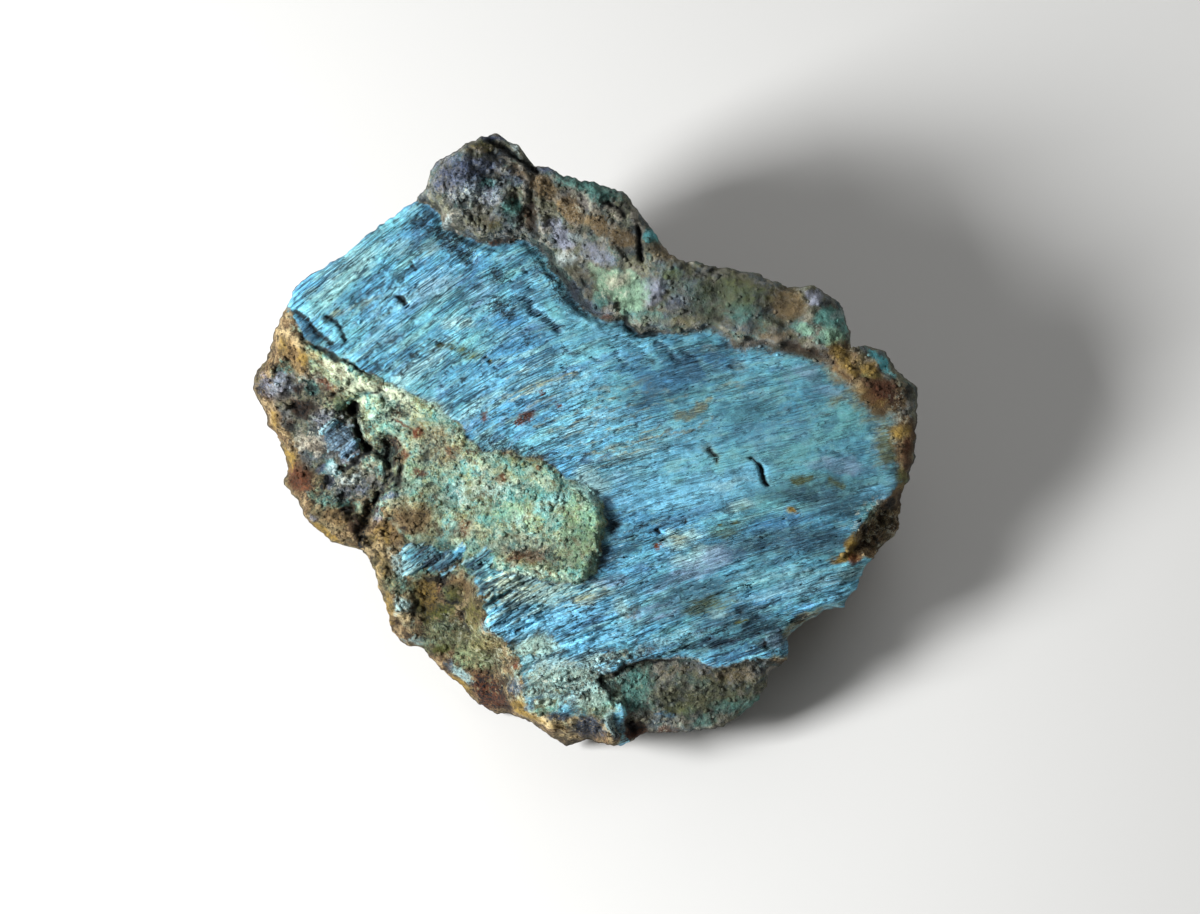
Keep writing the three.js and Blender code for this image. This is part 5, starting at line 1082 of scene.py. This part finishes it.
def new_group(name, inputs, outputs):
    """An empty shader node group with these inputs and outputs, given as name: kind, and its two end
    nodes."""
    group = bpy.data.node_groups.new(name, "ShaderNodeTree")
    for way, sockets in (("INPUT", inputs), ("OUTPUT", outputs)):
        for socket, kind in sockets.items():
            group.interface.new_socket(socket, in_out=way, socket_type="NodeSocket" + kind)
    return group, group.nodes.new("NodeGroupInput").outputs, group.nodes.new("NodeGroupOutput").inputs


def send(group, end, values):
    """Links each value to the group's output of its name."""
    for name, value in values.items():
        group.links.new(value, end[name])


def fibre_streaks():
    """Streaks along the fibres: wide plumes, bands, fine threads, dark hairlines, short nicks and pale
    threads that stand in for a painted sheen."""
    kinds = dict.fromkeys(("Plumes", "Swirls", "Bands", "Threads", "Lines", "Nicks", "Pale_threads_and_sheen"), "Float")
    group, start, end = new_group("Fibre streaks", {"Fibres": "Vector"}, kinds)
    wander = grain_noise(group, stretched(group, start["Fibres"], (0.12, 0.5, 0)), 2)
    aside = node(group, "ShaderNodeCombineXYZ", {1: maths(group, "MULTIPLY", wander, 0.9)}).outputs[0]
    fibres = node(group, "ShaderNodeVectorMath", {0: start["Fibres"], 1: aside}, operation="ADD").outputs[0]

    def drawn_out(along, across, offset, detail, roughness):
        return grain_noise(group, stretched(group, fibres, (along, across, 0), offset), detail, roughness)

    def hairlines(contour, shown, width, strength):
        """Thin lines where the contour passes 0.5, in the places that `shown` lets through."""
        off_line = maths(group, "ABSOLUTE", maths(group, "SUBTRACT", contour, 0.5))
        return maths(group, "MULTIPLY", span(group, off_line, 0.008, width, strength, 0.0), shown)

    few = span(group, drawn_out(0.45, 0.8, (1, 6, 3), 2, 0.6), 0.46, 0.6)
    some = span(group, drawn_out(0.16, 0.3, (8, 2, 7), 2, 0.6), 0.46, 0.56)
    cracks = hairlines(drawn_out(0.16, 1.3, (9, 2, 6), 3, 0.7), few, 0.035, 1.0)
    hairs = hairlines(drawn_out(0.07, 1.9, (5, 13, 2), 2, 0.6), some, 0.04, 0.8)
    send(group, end, {
        "Plumes": span(group, drawn_out(0.09, 0.22, (4, 8, 1), 3, 0.6), 0.36, 0.64),
        "Swirls": drawn_out(0.28, 0.55, (6, 3, 9), 4, 0.7),
        "Bands": span(group, drawn_out(0.16, 1.0, (0, 0, 0), 4, 0.7), 0.32, 0.68),
        "Threads": drawn_out(0.4, 4.2, (3, 7, 0), 3, 0.8),
        "Lines": maths(group, "MAXIMUM", cracks, hairs),
        "Nicks": drawn_out(2.2, 4.6, (11, 5, 2), 3, 0.75),
        "Pale_threads_and_sheen": drawn_out(1.0, 5.0, (23, 1, 4), 2, 0.7)})
    return group


def grains():
    """Crumbly rock: a chalky tooth of all sizes, dark specks, slow clouds, mottling, patches a grain wide,
    and clasts, each of one random value."""
    kinds = dict.fromkeys(("Chalk", "Specks", "Clouds", "Mottle", "Patches", "Clasts"), "Float")
    group, start, end = new_group("Grains", {"Place": "Vector"}, kinds)
    spot = start["Place"]
    bend = node(group, "ShaderNodeTexNoise", {"Vector": spot, "Scale": 1.6, "Detail": 3.0, "Roughness": 0.7})
    bent = node(group, "ShaderNodeVectorMath", {0: bend.outputs["Color"], 1: spot}, operation="ADD")
    cells = node(group, "ShaderNodeTexVoronoi", {"Vector": bent.outputs[0], "Scale": 1.25}).outputs["Color"]

    def shifted(offset, detail, roughness, scale):
        return grain_noise(group, stretched(group, spot, offset=offset), detail, roughness, scale)

    send(group, end, {
        "Chalk": grain_noise(group, spot, 5, 0.85, 1.3),
        "Specks": shifted((31, 17, 5), 3, 0.8, 2.6),
        "Clouds": span(group, shifted((2, 9, 14), 4, 0.65, 0.28), 0.38, 0.62),
        "Mottle": span(group, shifted((7, 3, 11), 6, 0.75, 0.35), 0.4, 0.6),
        "Patches": shifted((19, 23, 2), 6, 0.75, 0.5),
        "Clasts": node(group, "ShaderNodeSeparateXYZ", {0: cells}).outputs[0]})
    return group


def ragged_mask():
    """A soft mask with its edge broken up by a noise: 0.5 becomes half cover, and 0 and 1 stay."""
    inputs = dict.fromkeys(("Mask", "Noise", "Amount"), "Float")
    group, start, end = new_group("Ragged mask", inputs, {"Mask": "Float"})
    centred = maths(group, "MULTIPLY", maths(group, "SUBTRACT", start["Noise"], 0.5), 1.8)
    pushed = maths(group, "ADD", start["Mask"], maths(group, "MULTIPLY", centred, start["Amount"]))
    held = maths(group, "MINIMUM", pushed, maths(group, "MULTIPLY", start["Mask"], 4.0))
    send(group, end, {"Mask": span(group, held, 0.1, 0.95)})
    return group


material = bpy.data.materials.new("aerinite and altered rock")
material.use_nodes = True
tree = material.node_tree
shader = tree.nodes["Principled BSDF"]
place_mm = stretched(tree, node(tree, "ShaderNodeTexCoord").outputs["Object"], (1000, 1000, 1000))
fibre_map = node(tree, "ShaderNodeUVMap", uv_map="fibres").outputs[0]
streaks = node(tree, "ShaderNodeGroup", {"Fibres": fibre_map}, node_tree=fibre_streaks()).outputs
crumbling = node(tree, "ShaderNodeGroup", {"Place": place_mm}, node_tree=grains()).outputs
texture = {socket.name: socket for socket in [*streaks, *crumbling]}
masking = ragged_mask()


def paint(red, green, blue):
    """A colour given on the usual 0 to 255 scale, as the linear light that a shader takes."""
    c = np.array([red, green, blue]) / 255
    return (*np.where(c <= 0.04045, c / 12.92, ((c + 0.055) / 1.055) ** 2.4), 1.0)


def unpacked(name):
    """The three values of an attribute."""
    vector = node(tree, "ShaderNodeAttribute", attribute_name=name).outputs["Vector"]
    return node(tree, "ShaderNodeSeparateXYZ", {0: vector}).outputs


def times(a, b):
    """The product of two values."""
    return maths(tree, "MULTIPLY", a, b)


def lack(value):
    """1 less the value."""
    return maths(tree, "SUBTRACT", 1.0, value)


def scaled(colour, value):
    """A colour made darker or brighter by a factor."""
    return node(tree, "ShaderNodeVectorMath", {0: colour, 3: value}, operation="SCALE").outputs[0]


def blotch(name, low, high, share):
    """A texture's own blotches: 0 at low, and the share at high."""
    return span(tree, texture[name], low, high, 0.0, share)


# hollow paints shade into hollows and a highlight onto rises; tone is each sliver's and crumb's own random
# tone.
hollow, tone, dull = unpacked("relief")
crisp = lack(times(dull, 0.6))
bite = lack(times(dull, 0.4))
stain = {}
breakup = texture["Chalk"]
for attribute, members in PACKS.items():
    if attribute != "relief":
        for member, mask in zip(members, unpacked(attribute)):
            mask_inputs = {"Mask": mask, "Noise": breakup, "Amount": bite}
            stain[member] = node(tree, "ShaderNodeGroup", mask_inputs, node_tree=masking).outputs["Mask"]
    if attribute == "rock":
        grain_or_fibre = {0: stain["vein"], 2: texture["Chalk"], 3: texture["Threads"]}
        breakup = node(tree, "ShaderNodeMix", grain_or_fibre).outputs[0]
is_vein, is_crust, is_wall_rock = (stain[member] for member in PACKS["rock"])


def clouded(colour, layers, by=None):
    """Lays blotches over a colour in turn: the texture, where it starts and where it is whole, its share
    and its colour. They are held back by the value `by`."""
    for name, low, high, share, shade in layers:
        cover = blotch(name, low, high, share)
        colour = mix(tree, cover if by is None else times(by, cover), colour, paint(*shade))
    return colour


def tinted(colour, shades):
    """Lays stains over a colour in turn: the stain's name, its share and its colour."""
    for name, share, shade in shades:
        colour = mix(tree, times(stain[name], share), colour, paint(*shade))
    return colour


def toothed(colour, name, low, high):
    """Darkens and brightens a colour from low to high as a texture goes from 0.34 to 0.66, less where it is
    dull."""
    swing = times(crisp, span(tree, texture[name], 0.34, 0.66, low - 1, high - 1))
    return scaled(colour, maths(tree, "ADD", swing, 1.0))


def vein_colour():
    """Sky blue and teal fibres, clouded with lilac and green, with sparse dark lines and pale threads."""
    colour = mix(tree, texture["Plumes"], paint(100, 180, 222), paint(124, 204, 220))
    colour = clouded(colour, [
        ("Swirls", 0.52, 0.64, 0.55, (122, 166, 214)), ("Swirls", 0.46, 0.34, 0.6, (106, 174, 172)),
        ("Bands", 0.55, 1.0, 0.7, (154, 212, 212)), ("Bands", 0.45, 0.0, 0.65, (66, 130, 170))])
    colour = mix(tree, times(dull, 0.55), colour, paint(80, 138, 148))
    colour = tinted(colour, [
        ("teal", 0.8, (108, 178, 174)), ("deep", 0.85, (66, 130, 182)), ("sky", 0.9, (124, 200, 234)),
        ("slate", 0.9, (58, 100, 120)), ("pale", 0.85, (176, 218, 216)), ("lilac", 0.75, (134, 160, 188)),
        ("cream", 0.85, (192, 204, 172)), ("navy_and_shade", 0.9, (34, 66, 92)), ("tan", 0.85, (142, 140, 102)),
        ("brown", 0.8, (108, 86, 56))])
    colour = clouded(colour, [("Clouds", 0.8, 0.0, 0.25, (66, 118, 142))])
    colour = clouded(colour, [
        ("Patches", 0.51, 0.6, 0.6, (60, 108, 128)), ("Patches", 0.48, 0.4, 0.5, (120, 182, 186)),
        ("Mottle", 0.7, 1.0, 0.3, (96, 138, 166))], dull)
    colour = toothed(toothed(colour, "Threads", 0.76, 1.26), "Chalk", 0.72, 1.28)
    # Pale streaks along the fibres: a painted sheen, less where the vein is dull.
    colour = clouded(colour, [("Pale_threads_and_sheen", 0.58, 0.68, 0.45, (188, 228, 234))], crisp)
    colour = mix(tree, times(crisp, times(texture["Lines"], 0.85)), colour, paint(18, 54, 72))
    return clouded(colour, [
        ("Nicks", 0.6, 0.65, 0.8, (14, 42, 56)), ("Specks", 0.6, 0.66, 0.7, (16, 48, 60))], crisp)


def crust_colour():
    """Mint, cream and yellow-green patches, brown crumbs, and dark teal between the grains."""
    colour = mix(tree, texture["Mottle"], paint(114, 180, 170), paint(174, 196, 156))
    colour = clouded(colour, [
        ("Patches", 0.52, 0.6, 0.75, (164, 170, 116)), ("Patches", 0.47, 0.42, 0.85, (112, 186, 186)),
        ("Clouds", 0.66, 1.0, 0.4, (134, 120, 84)), ("Clasts", 0.74, 0.82, 0.5, (196, 220, 194)),
        ("Clasts", 0.24, 0.16, 0.6, (82, 116, 100))])
    colour = tinted(colour, [
        ("teal", 0.8, (70, 136, 130)), ("pale", 0.85, (186, 220, 206)), ("sky", 0.8, (164, 222, 226)),
        ("green", 0.9, (150, 186, 136)), ("cream", 0.9, (208, 218, 184)), ("tan", 0.8, (164, 140, 88)),
        ("brown", 0.35, (110, 80, 48)), ("navy_and_shade", 0.9, (62, 76, 104))])
    colour = toothed(colour, "Chalk", 0.68, 1.32)
    browned = maths(tree, "ADD", stain["brown"], times(texture["Mottle"], 0.65))
    colour = clouded(colour, [("Chalk", 0.51, 0.43, 0.95, (98, 68, 40))], browned)
    return clouded(colour, [
        ("Specks", 0.45, 0.38, 0.45, (208, 226, 204)), ("Specks", 0.58, 0.63, 0.85, (26, 62, 56))])


def wall_rock_colour():
    """Slate, lilac and olive-brown patches with beige crumbs."""
    colour = mix(tree, texture["Mottle"], paint(92, 104, 110), paint(112, 112, 92))
    colour = clouded(colour, [
        ("Patches", 0.53, 0.6, 0.5, (134, 130, 124)), ("Patches", 0.46, 0.4, 0.6, (82, 118, 112)),
        ("Clouds", 0.5, 1.0, 0.6, (98, 98, 70))])
    colour = clouded(colour, [
        ("Clasts", 0.78, 0.84, 0.6, (158, 152, 138)), ("Clasts", 0.2, 0.14, 0.6, (48, 56, 58))], crisp)
    colour = tinted(colour, [
        ("lilac", 0.95, (146, 152, 170)), ("teal", 0.9, (92, 150, 142)), ("sky", 0.9, (96, 184, 196)),
        ("navy_and_shade", 0.9, (70, 82, 112)), ("pale", 0.9, (178, 196, 196)), ("green", 0.85, (142, 180, 150)),
        ("cream", 0.9, (176, 164, 144)), ("tan", 0.9, (118, 98, 66)), ("deep", 0.9, (74, 118, 148))])
    colour = toothed(colour, "Chalk", 0.6, 1.4)
    return clouded(colour, [
        ("Specks", 0.44, 0.38, 0.3, (180, 180, 170)), ("Specks", 0.56, 0.63, 0.85, (22, 32, 34))], crisp)


def earth_colour():
    """Orange-brown, crumbly matrix with khaki clouds and cream crumbs."""
    colour = mix(tree, texture["Mottle"], paint(128, 104, 74), paint(94, 76, 50))
    colour = clouded(colour, [
        ("Patches", 0.54, 0.62, 0.6, (150, 134, 96)), ("Patches", 0.45, 0.38, 0.6, (66, 56, 40)),
        ("Clouds", 0.4, 1.0, 0.6, (96, 96, 68)), ("Clasts", 0.78, 0.84, 0.55, (186, 164, 122)),
        ("Clasts", 0.2, 0.14, 0.6, (54, 42, 30))])
    colour = tinted(colour, [
        ("teal", 0.9, (84, 124, 110)), ("lilac", 0.9, (124, 130, 150)), ("pale", 0.9, (156, 190, 192)),
        ("sky", 0.9, (140, 196, 210)), ("green", 0.8, (132, 148, 108)), ("cream", 0.9, (204, 182, 136)),
        ("tan", 0.85, (158, 128, 82)), ("navy_and_shade", 0.9, (52, 64, 82)), ("deep", 0.9, (90, 130, 160))])
    colour = toothed(colour, "Chalk", 0.45, 1.55)
    return clouded(colour, [
        ("Specks", 0.45, 0.38, 0.4, (196, 174, 130)), ("Specks", 0.54, 0.62, 0.85, (30, 22, 16))], crisp)


# The four rocks together, with the stains that lie over them all, painted shade in hollows and a painted
# highlight on raised edges.
colour = mix(tree, is_wall_rock, earth_colour(), wall_rock_colour())
colour = mix(tree, is_crust, colour, crust_colour())
colour = mix(tree, is_vein, colour, vein_colour())
bare_brown = times(stain["brown"], lack(maths(tree, "MAXIMUM", is_crust, is_vein)))
rusty_crumbs = times(stain["rust"], blotch("Chalk", 0.6, 0.52, 1.0))
for cover, shade in ((stain["olive"], (88, 92, 36)), (bare_brown, (66, 46, 30)),
                     (stain["gold"], (136, 112, 54)), (rusty_crumbs, (112, 58, 30))):
    colour = mix(tree, cover, colour, toothed(paint(*shade)[:3], "Chalk", 0.4, 1.6))
# Painted shade in hollows and a painted highlight on rises, from hollow, with each sliver's and crumb's own
# tone.
colour = scaled(colour, span(tree, maths(tree, "ADD", hollow, tone), -1.0, 1.0, 1.25, 0.5))
fibre_specks = times(is_vein, blotch("Nicks", 0.52, 0.57, 1.0))
specks = maths(tree, "MAXIMUM", blotch("Specks", 0.5, 0.56, 1.0), fibre_specks)
colour = clouded(colour, [("Chalk", 0.53, 0.6, 0.8, (206, 208, 188))], stain["salt"])
colour = mix(tree, times(times(stain["pepper"], specks), 0.9), colour, paint(14, 32, 38))
# Painted shade from the shade stain.
colour = scaled(colour, span(tree, stain["shade"], 0.0, 1.0, 1.0, 0.55))
# Near-black in cracks, pits and holes: painted shade, with some real dark marks.
colour = mix(tree, times(stain["black_and_shade"], 0.9), colour, paint(12, 16, 18))
tree.links.new(colour, shader.inputs["Base Color"])

grit = maths(tree, "SUBTRACT", times(texture["Chalk"], 1.4), times(texture["Specks"], 0.8))
fibre_tooth = maths(tree, "SUBTRACT", times(texture["Threads"], 0.8), times(texture["Lines"], 0.4))
height = times(crisp, maths(tree, "ADD", times(fibre_tooth, is_vein), times(grit, lack(is_vein))))
bump = node(tree, "ShaderNodeBump", {"Height": height, "Strength": 1.0, "Distance": 0.4 * MM})
tree.links.new(bump.outputs[0], shader.inputs["Normal"])
tree.links.new(span(tree, is_vein, 0.0, 1.0, 0.9, 0.7), shader.inputs["Roughness"])
shader.inputs["Specular IOR Level"].default_value = 0.35
rock.data.materials.append(material)

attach(rock, "root")
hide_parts("aerinite_specimen")

# ---- The fibre slivers -----------------------------------------------------------------------------------
# Splinters of fibre that stand a little out of the vein: flat three-sided strips that follow the fibres.
# They are longest on the open vein, and short, thick and blunt where bundles are broken off.
SLIVER_COUNT = 4600
SLIVER_RINGS = 7
SLIVER_LENGTH, SLIVER_WIDTH, SLIVER_HEIGHT = (1.4, 6.5), (0.15, 0.6), (0.02, 0.08)
SLIVER_SINK = 0.1
BUNDLE_AREA = (-4, -19, 9, 6)  # place and half-sizes of the broken, blunt bundles under the crust


def sliver_paths(rng):
    """Each sliver's line of (u, v) along one fibre, with its width, height and share of broken bundle, and
    the values of the surface under it. A line that would leave the vein or cross a crack is dropped."""
    theta, reach = rng.uniform(-np.pi, np.pi, 9 * SLIVER_COUNT), np.sqrt(rng.uniform(0, 1, 9 * SLIVER_COUNT))
    radius = reach * (chipped_radius(theta) - 1.2)
    u, v = radius * np.cos(theta), radius * np.sin(theta)
    found = surface_values(u, v, plane_point(u, v), np.zeros(len(u)))
    bundled = np.maximum(hump(u, v, BUNDLE_AREA[:2], BUNDLE_AREA[2:]), fibrous_blocks(u, v, 0))
    likely = (0.35 + bundled) * (1 - found["dull"])
    keep = (found["vein"] > 0.75) & (rng.uniform(0, 1, len(u)) < likely)
    keep = np.flatnonzero(keep)[:SLIVER_COUNT]
    u, v, bundled, count = u[keep], v[keep], bundled[keep], len(keep)

    def between(limits, power):
        return limits[0] + (limits[1] - limits[0]) * rng.uniform(0, 1, count) ** power

    length = between(SLIVER_LENGTH, 1.6) * (1 - 0.55 * bundled)
    width = between(SLIVER_WIDTH, 2.2) * (1 + 0.9 * bundled)
    height = between(SLIVER_HEIGHT, 1.5) * (1 + 2.5 * bundled)
    s = np.linspace(-1, 1, SLIVER_RINGS)
    run = 0.5 * length[:, None] * s
    way = np.arctan(0.5 - 0.27 * ramp(-10, 12, u))[:, None]
    U, V = u[:, None] + run * np.cos(way), v[:, None] + run * np.sin(way)
    fibre = across_fibres(u, v)[:, None] + rng.normal(0, 0.05, count)[:, None] * s
    for _ in range(4):
        V = V + fibre - across_fibres(U, V)
    values = surface_values(U.ravel(), V.ravel(), plane_point(U, V).reshape(-1, 3), np.zeros(U.size))
    clear = (values["vein"] > 0.6) & (values["black_and_shade"] < 0.25)
    inside = clear.reshape(U.shape) & (np.hypot(U, V) < chipped_radius(np.arctan2(V, U)) - 0.7)
    inside = inside.all(1)
    values = {name: value.reshape(U.shape)[inside].ravel() for name, value in values.items()}
    return U[inside], V[inside], width[inside], height[inside], bundled[inside], values


def sliver_strips(rng):
    """Points, triangles, (u, v), values and tone of all the slivers: each has its foot sunk in the vein and
    its crest bridging small hollows, and is a tapered or a broken bundle at either end."""
    U, V, width, height, bundled, values = sliver_paths(rng)
    count = len(U)
    s = np.linspace(-1, 1, SLIVER_RINGS)
    du, dv = np.gradient(U, axis=1), np.gradient(V, axis=1)
    norm = np.hypot(du, dv)
    blunt = rng.uniform(0.12, 1.0, (2, count, 1)) * (1 - 0.6 * bundled[:, None])
    taper = np.minimum(1, (1.02 + s) / blunt[0]) * np.minimum(1, (1.02 - s) / blunt[1])
    half = 0.5 * width[:, None] * taper
    skew = rng.uniform(-0.7, 0.7, count)[:, None]
    u = np.stack([U - share * half * dv / norm for share in (1, skew, -1)], -1)
    v = np.stack([V + share * half * du / norm for share in (1, skew, -1)], -1)
    w = face_height(u.ravel(), v.ravel()).reshape(u.shape)
    crest = w[..., 1]
    chord = crest[:, :1] + (crest[:, -1:] - crest[:, :1]) * (s + 1) / 2
    crest = crest + np.clip(0.5 * (chord - crest), 0, 0.15) * taper + height[:, None] * taper
    w = np.stack([w[..., 0] - SLIVER_SINK, crest, w[..., 2] - SLIVER_SINK], -1)
    corner = 3 * np.arange(SLIVER_RINGS - 1)[:, None]
    after = corner + 3
    sides = [np.stack([corner + a, after + a, after + b, corner + a, after + b, corner + b], -1)
             for a, b in ((0, 1), (1, 2), (2, 0))]
    last = 3 * SLIVER_RINGS - 1
    ends = [[[0, 1, 2]], [[last, last - 1, last - 2]]]
    strip = np.concatenate([side.reshape(-1, 3) for side in sides] + ends)
    triangles = (3 * SLIVER_RINGS * np.arange(count)[:, None, None] + strip).reshape(-1, 3)
    values = {name: np.repeat(value, 3) for name, value in values.items()}
    tone = np.repeat(rng.normal(0, 0.1, count), 3 * SLIVER_RINGS)
    u, v, w = u.ravel(), v.ravel(), w.ravel()
    return place(u, v, w), triangles, np.stack([u, v], 1), values, tone


sliver_random = np.random.default_rng(5)
sliver_points, sliver_triangles, sliver_uv, sliver_values, sliver_tone = sliver_strips(sliver_random)
slivers = make_mesh("fibre_slivers", sliver_points, sliver_triangles)
sliver_fibres = np.stack([along_fibres(*sliver_uv.T), across_fibres(*sliver_uv.T)], 1)
store_values(slivers, sliver_values, np.zeros(len(sliver_uv)), sliver_tone, sliver_fibres)
slivers.data.materials.append(material)
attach(slivers, "root")
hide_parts("aerinite_specimen")

# ---- The crumbs ------------------------------------------------------------------------------------------
# Angular grains, half sunk in the crust, the wall rock, the matrix and the sides: each a bent icosahedron
# with a tone of its own.
CRUMB_COUNT = 8000
CRUMB_RADIUS = (0.09, 0.4)
CRUMB_STRETCH, CRUMB_DENTS = (0.65, 1.3), (0.72, 1.15)
CRUMB_SINK_FACE, CRUMB_SINK_WALL = 0.15, 0.45  # as shares of its radius


def skin_normals(points, triangles):
    """The outward unit normal at each point of a mesh, and the area round it."""
    a, b, c = (points[triangles[:, k]] for k in range(3))
    cross = np.cross(b - a, c - a)
    normals, area = np.zeros((len(points), 3)), np.zeros(len(points))
    for k in range(3):
        np.add.at(normals, triangles[:, k], cross)
        np.add.at(area, triangles[:, k], np.linalg.norm(cross, axis=1) / 6)
    return normals / np.linalg.norm(normals, axis=1, keepdims=True), area


def icosahedron():
    """Its twelve unit corners and its twenty faces, found as the corner triples that are an edge apart."""
    golden = (1 + 5 ** 0.5) / 2
    signs = (-1, 1)
    turned = [np.roll((0, a, b * golden), turn) for turn in range(3) for a in signs for b in signs]
    corners = np.array(turned)
    far = np.linalg.norm(corners[:, None] - corners, axis=2)
    faces = [(i, j, k) for i in range(12) for j in range(i) for k in range(j)
             if max(far[i, j], far[j, k], far[i, k]) < 2.1]
    faces = np.array([f if np.linalg.det(corners[list(f)]) > 0 else f[::-1] for f in faces])
    return corners / np.linalg.norm(corners[0]), faces


def crumb_grains(rng):
    """Points, triangles and tone of all the crumbs, and the point of the skin that each of them sits on."""
    normals, area = skin_normals(skin, skin_triangles)
    inland = chipped_radius(np.arctan2(skin_uv[:, 1], skin_uv[:, 0])) - np.hypot(*skin_uv.T)
    bare = area * np.maximum(0, 0.9 - rock_values["vein"]) * (skin[:, 2] > 1.5)
    bare = bare * np.where(on_face, inland > 1.0, 0.5) * (1 - 0.7 * rock_values["dull"])
    seats = rng.choice(len(skin), CRUMB_COUNT, p=bare / bare.sum())
    corners, faces = icosahedron()
    radius = CRUMB_RADIUS[0] + (CRUMB_RADIUS[1] - CRUMB_RADIUS[0]) * rng.uniform(0, 1, CRUMB_COUNT) ** 2.5
    stretch = rng.uniform(*CRUMB_STRETCH, (CRUMB_COUNT, 1, 3))
    dents = rng.uniform(*CRUMB_DENTS, (CRUMB_COUNT, 12, 1))
    spin = np.linalg.qr(rng.normal(0, 1, (CRUMB_COUNT, 3, 3)))[0]
    spin = spin * np.sign(np.linalg.det(spin))[:, None, None]
    shapes = (corners * stretch * dents) @ spin * radius[:, None, None]
    sink = radius * np.where(on_face[seats], CRUMB_SINK_FACE, CRUMB_SINK_WALL)
    centre = skin[seats] - normals[seats] * sink[:, None]
    points = (centre[:, None] + shapes).reshape(-1, 3)
    points[:, 2] = np.maximum(points[:, 2], 0.05)
    triangles = (12 * np.arange(CRUMB_COUNT)[:, None, None] + faces).reshape(-1, 3)
    return points, triangles, np.repeat(rng.normal(-0.1, 0.3, CRUMB_COUNT), 12), np.repeat(seats, 12)


crumb_points, crumb_triangles, crumb_tone, crumb_seats = crumb_grains(np.random.default_rng(6))
crumbs = make_mesh("rock_crumbs", crumb_points, crumb_triangles)
crumb_values = {name: value[crumb_seats] for name, value in rock_values.items()}
store_values(crumbs, crumb_values, np.zeros(len(crumb_seats)), crumb_tone, rock_fibres[crumb_seats])
crumbs.data.materials.append(material)
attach(crumbs, "root")
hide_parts("aerinite_specimen")

# ---- The studio ------------------------------------------------------------------------------------------
# A plain pale floor, a soft lamp low on the left that rakes the fibres, a wide one above, one behind, and
# weak light all round. The camera looks square on to the tilted face.
FLOOR_HALF = 2  # metres
LENS, SENSOR = 110, 36
VIEW_WIDTH = 0.12  # metres across the picture, at the face
VIEW_CENTRE = (1.6, -1.5)  # (u, v)
LAMP_TARGET = Vector((0, 0, 0.018))

floor_mesh = bpy.data.meshes.new("floor")
floor_corners = [(x * FLOOR_HALF, y * FLOOR_HALF, 0) for x, y in ((-1, -1), (1, -1), (1, 1), (-1, 1))]
floor_mesh.from_pydata(floor_corners, [], [(0, 1, 2, 3)])
floor = bpy.data.objects.new("floor", floor_mesh)
bpy.context.scene.collection.objects.link(floor)
floor_material = bpy.data.materials.new("pale floor")
floor_material.use_nodes = True
floor_shader = floor_material.node_tree.nodes["Principled BSDF"]
floor_shader.inputs["Base Color"].default_value = (0.62, 0.62, 0.61, 1)
floor_shader.inputs["Roughness"].default_value = 0.85
floor_mesh.materials.append(floor_material)


def soft_lamp(name, azimuth, elevation, distance, size, watts):
    """A square area lamp, aimed at the middle of the specimen from a bearing (0 is +X) and a height
    angle."""
    a, e = np.radians(azimuth), np.radians(elevation)
    lamp = bpy.data.lights.new(name, "AREA")
    lamp.energy, lamp.size = watts, size
    holder = bpy.data.objects.new(name, lamp)
    way = Vector((np.cos(e) * np.cos(a), np.cos(e) * np.sin(a), np.sin(e)))
    holder.location = way * distance + LAMP_TARGET
    holder.rotation_euler = way.to_track_quat("Z", "Y").to_euler()
    bpy.context.scene.collection.objects.link(holder)


soft_lamp("key", azimuth=200, elevation=34, distance=0.32, size=0.1, watts=2.35)
soft_lamp("fill", azimuth=60, elevation=60, distance=0.7, size=0.6, watts=0.7)
soft_lamp("back", azimuth=75, elevation=20, distance=0.6, size=0.4, watts=1.0)
world = bpy.data.worlds.new("studio")
world.use_nodes = True
background = world.node_tree.nodes["Background"]
background.inputs["Color"].default_value = (1.0, 0.99, 0.96, 1)
background.inputs["Strength"].default_value = 0.12
bpy.context.scene.world = world

camera_data = bpy.data.cameras.new("camera")
camera_data.lens, camera_data.sensor_width = LENS, SENSOR
camera = bpy.data.objects.new("camera", camera_data)
target = Vector((place(*VIEW_CENTRE, 0) - MIDDLE) * MM)
away = Vector((0, -np.sin(FACE_TILT), np.cos(FACE_TILT)))
camera.location = target + away * (VIEW_WIDTH * LENS / SENSOR)
camera.rotation_euler = (FACE_TILT, 0, 0)
bpy.context.scene.collection.objects.link(camera)
bpy.context.scene.camera = camera
bpy.context.scene.view_settings.view_transform = "Standard"
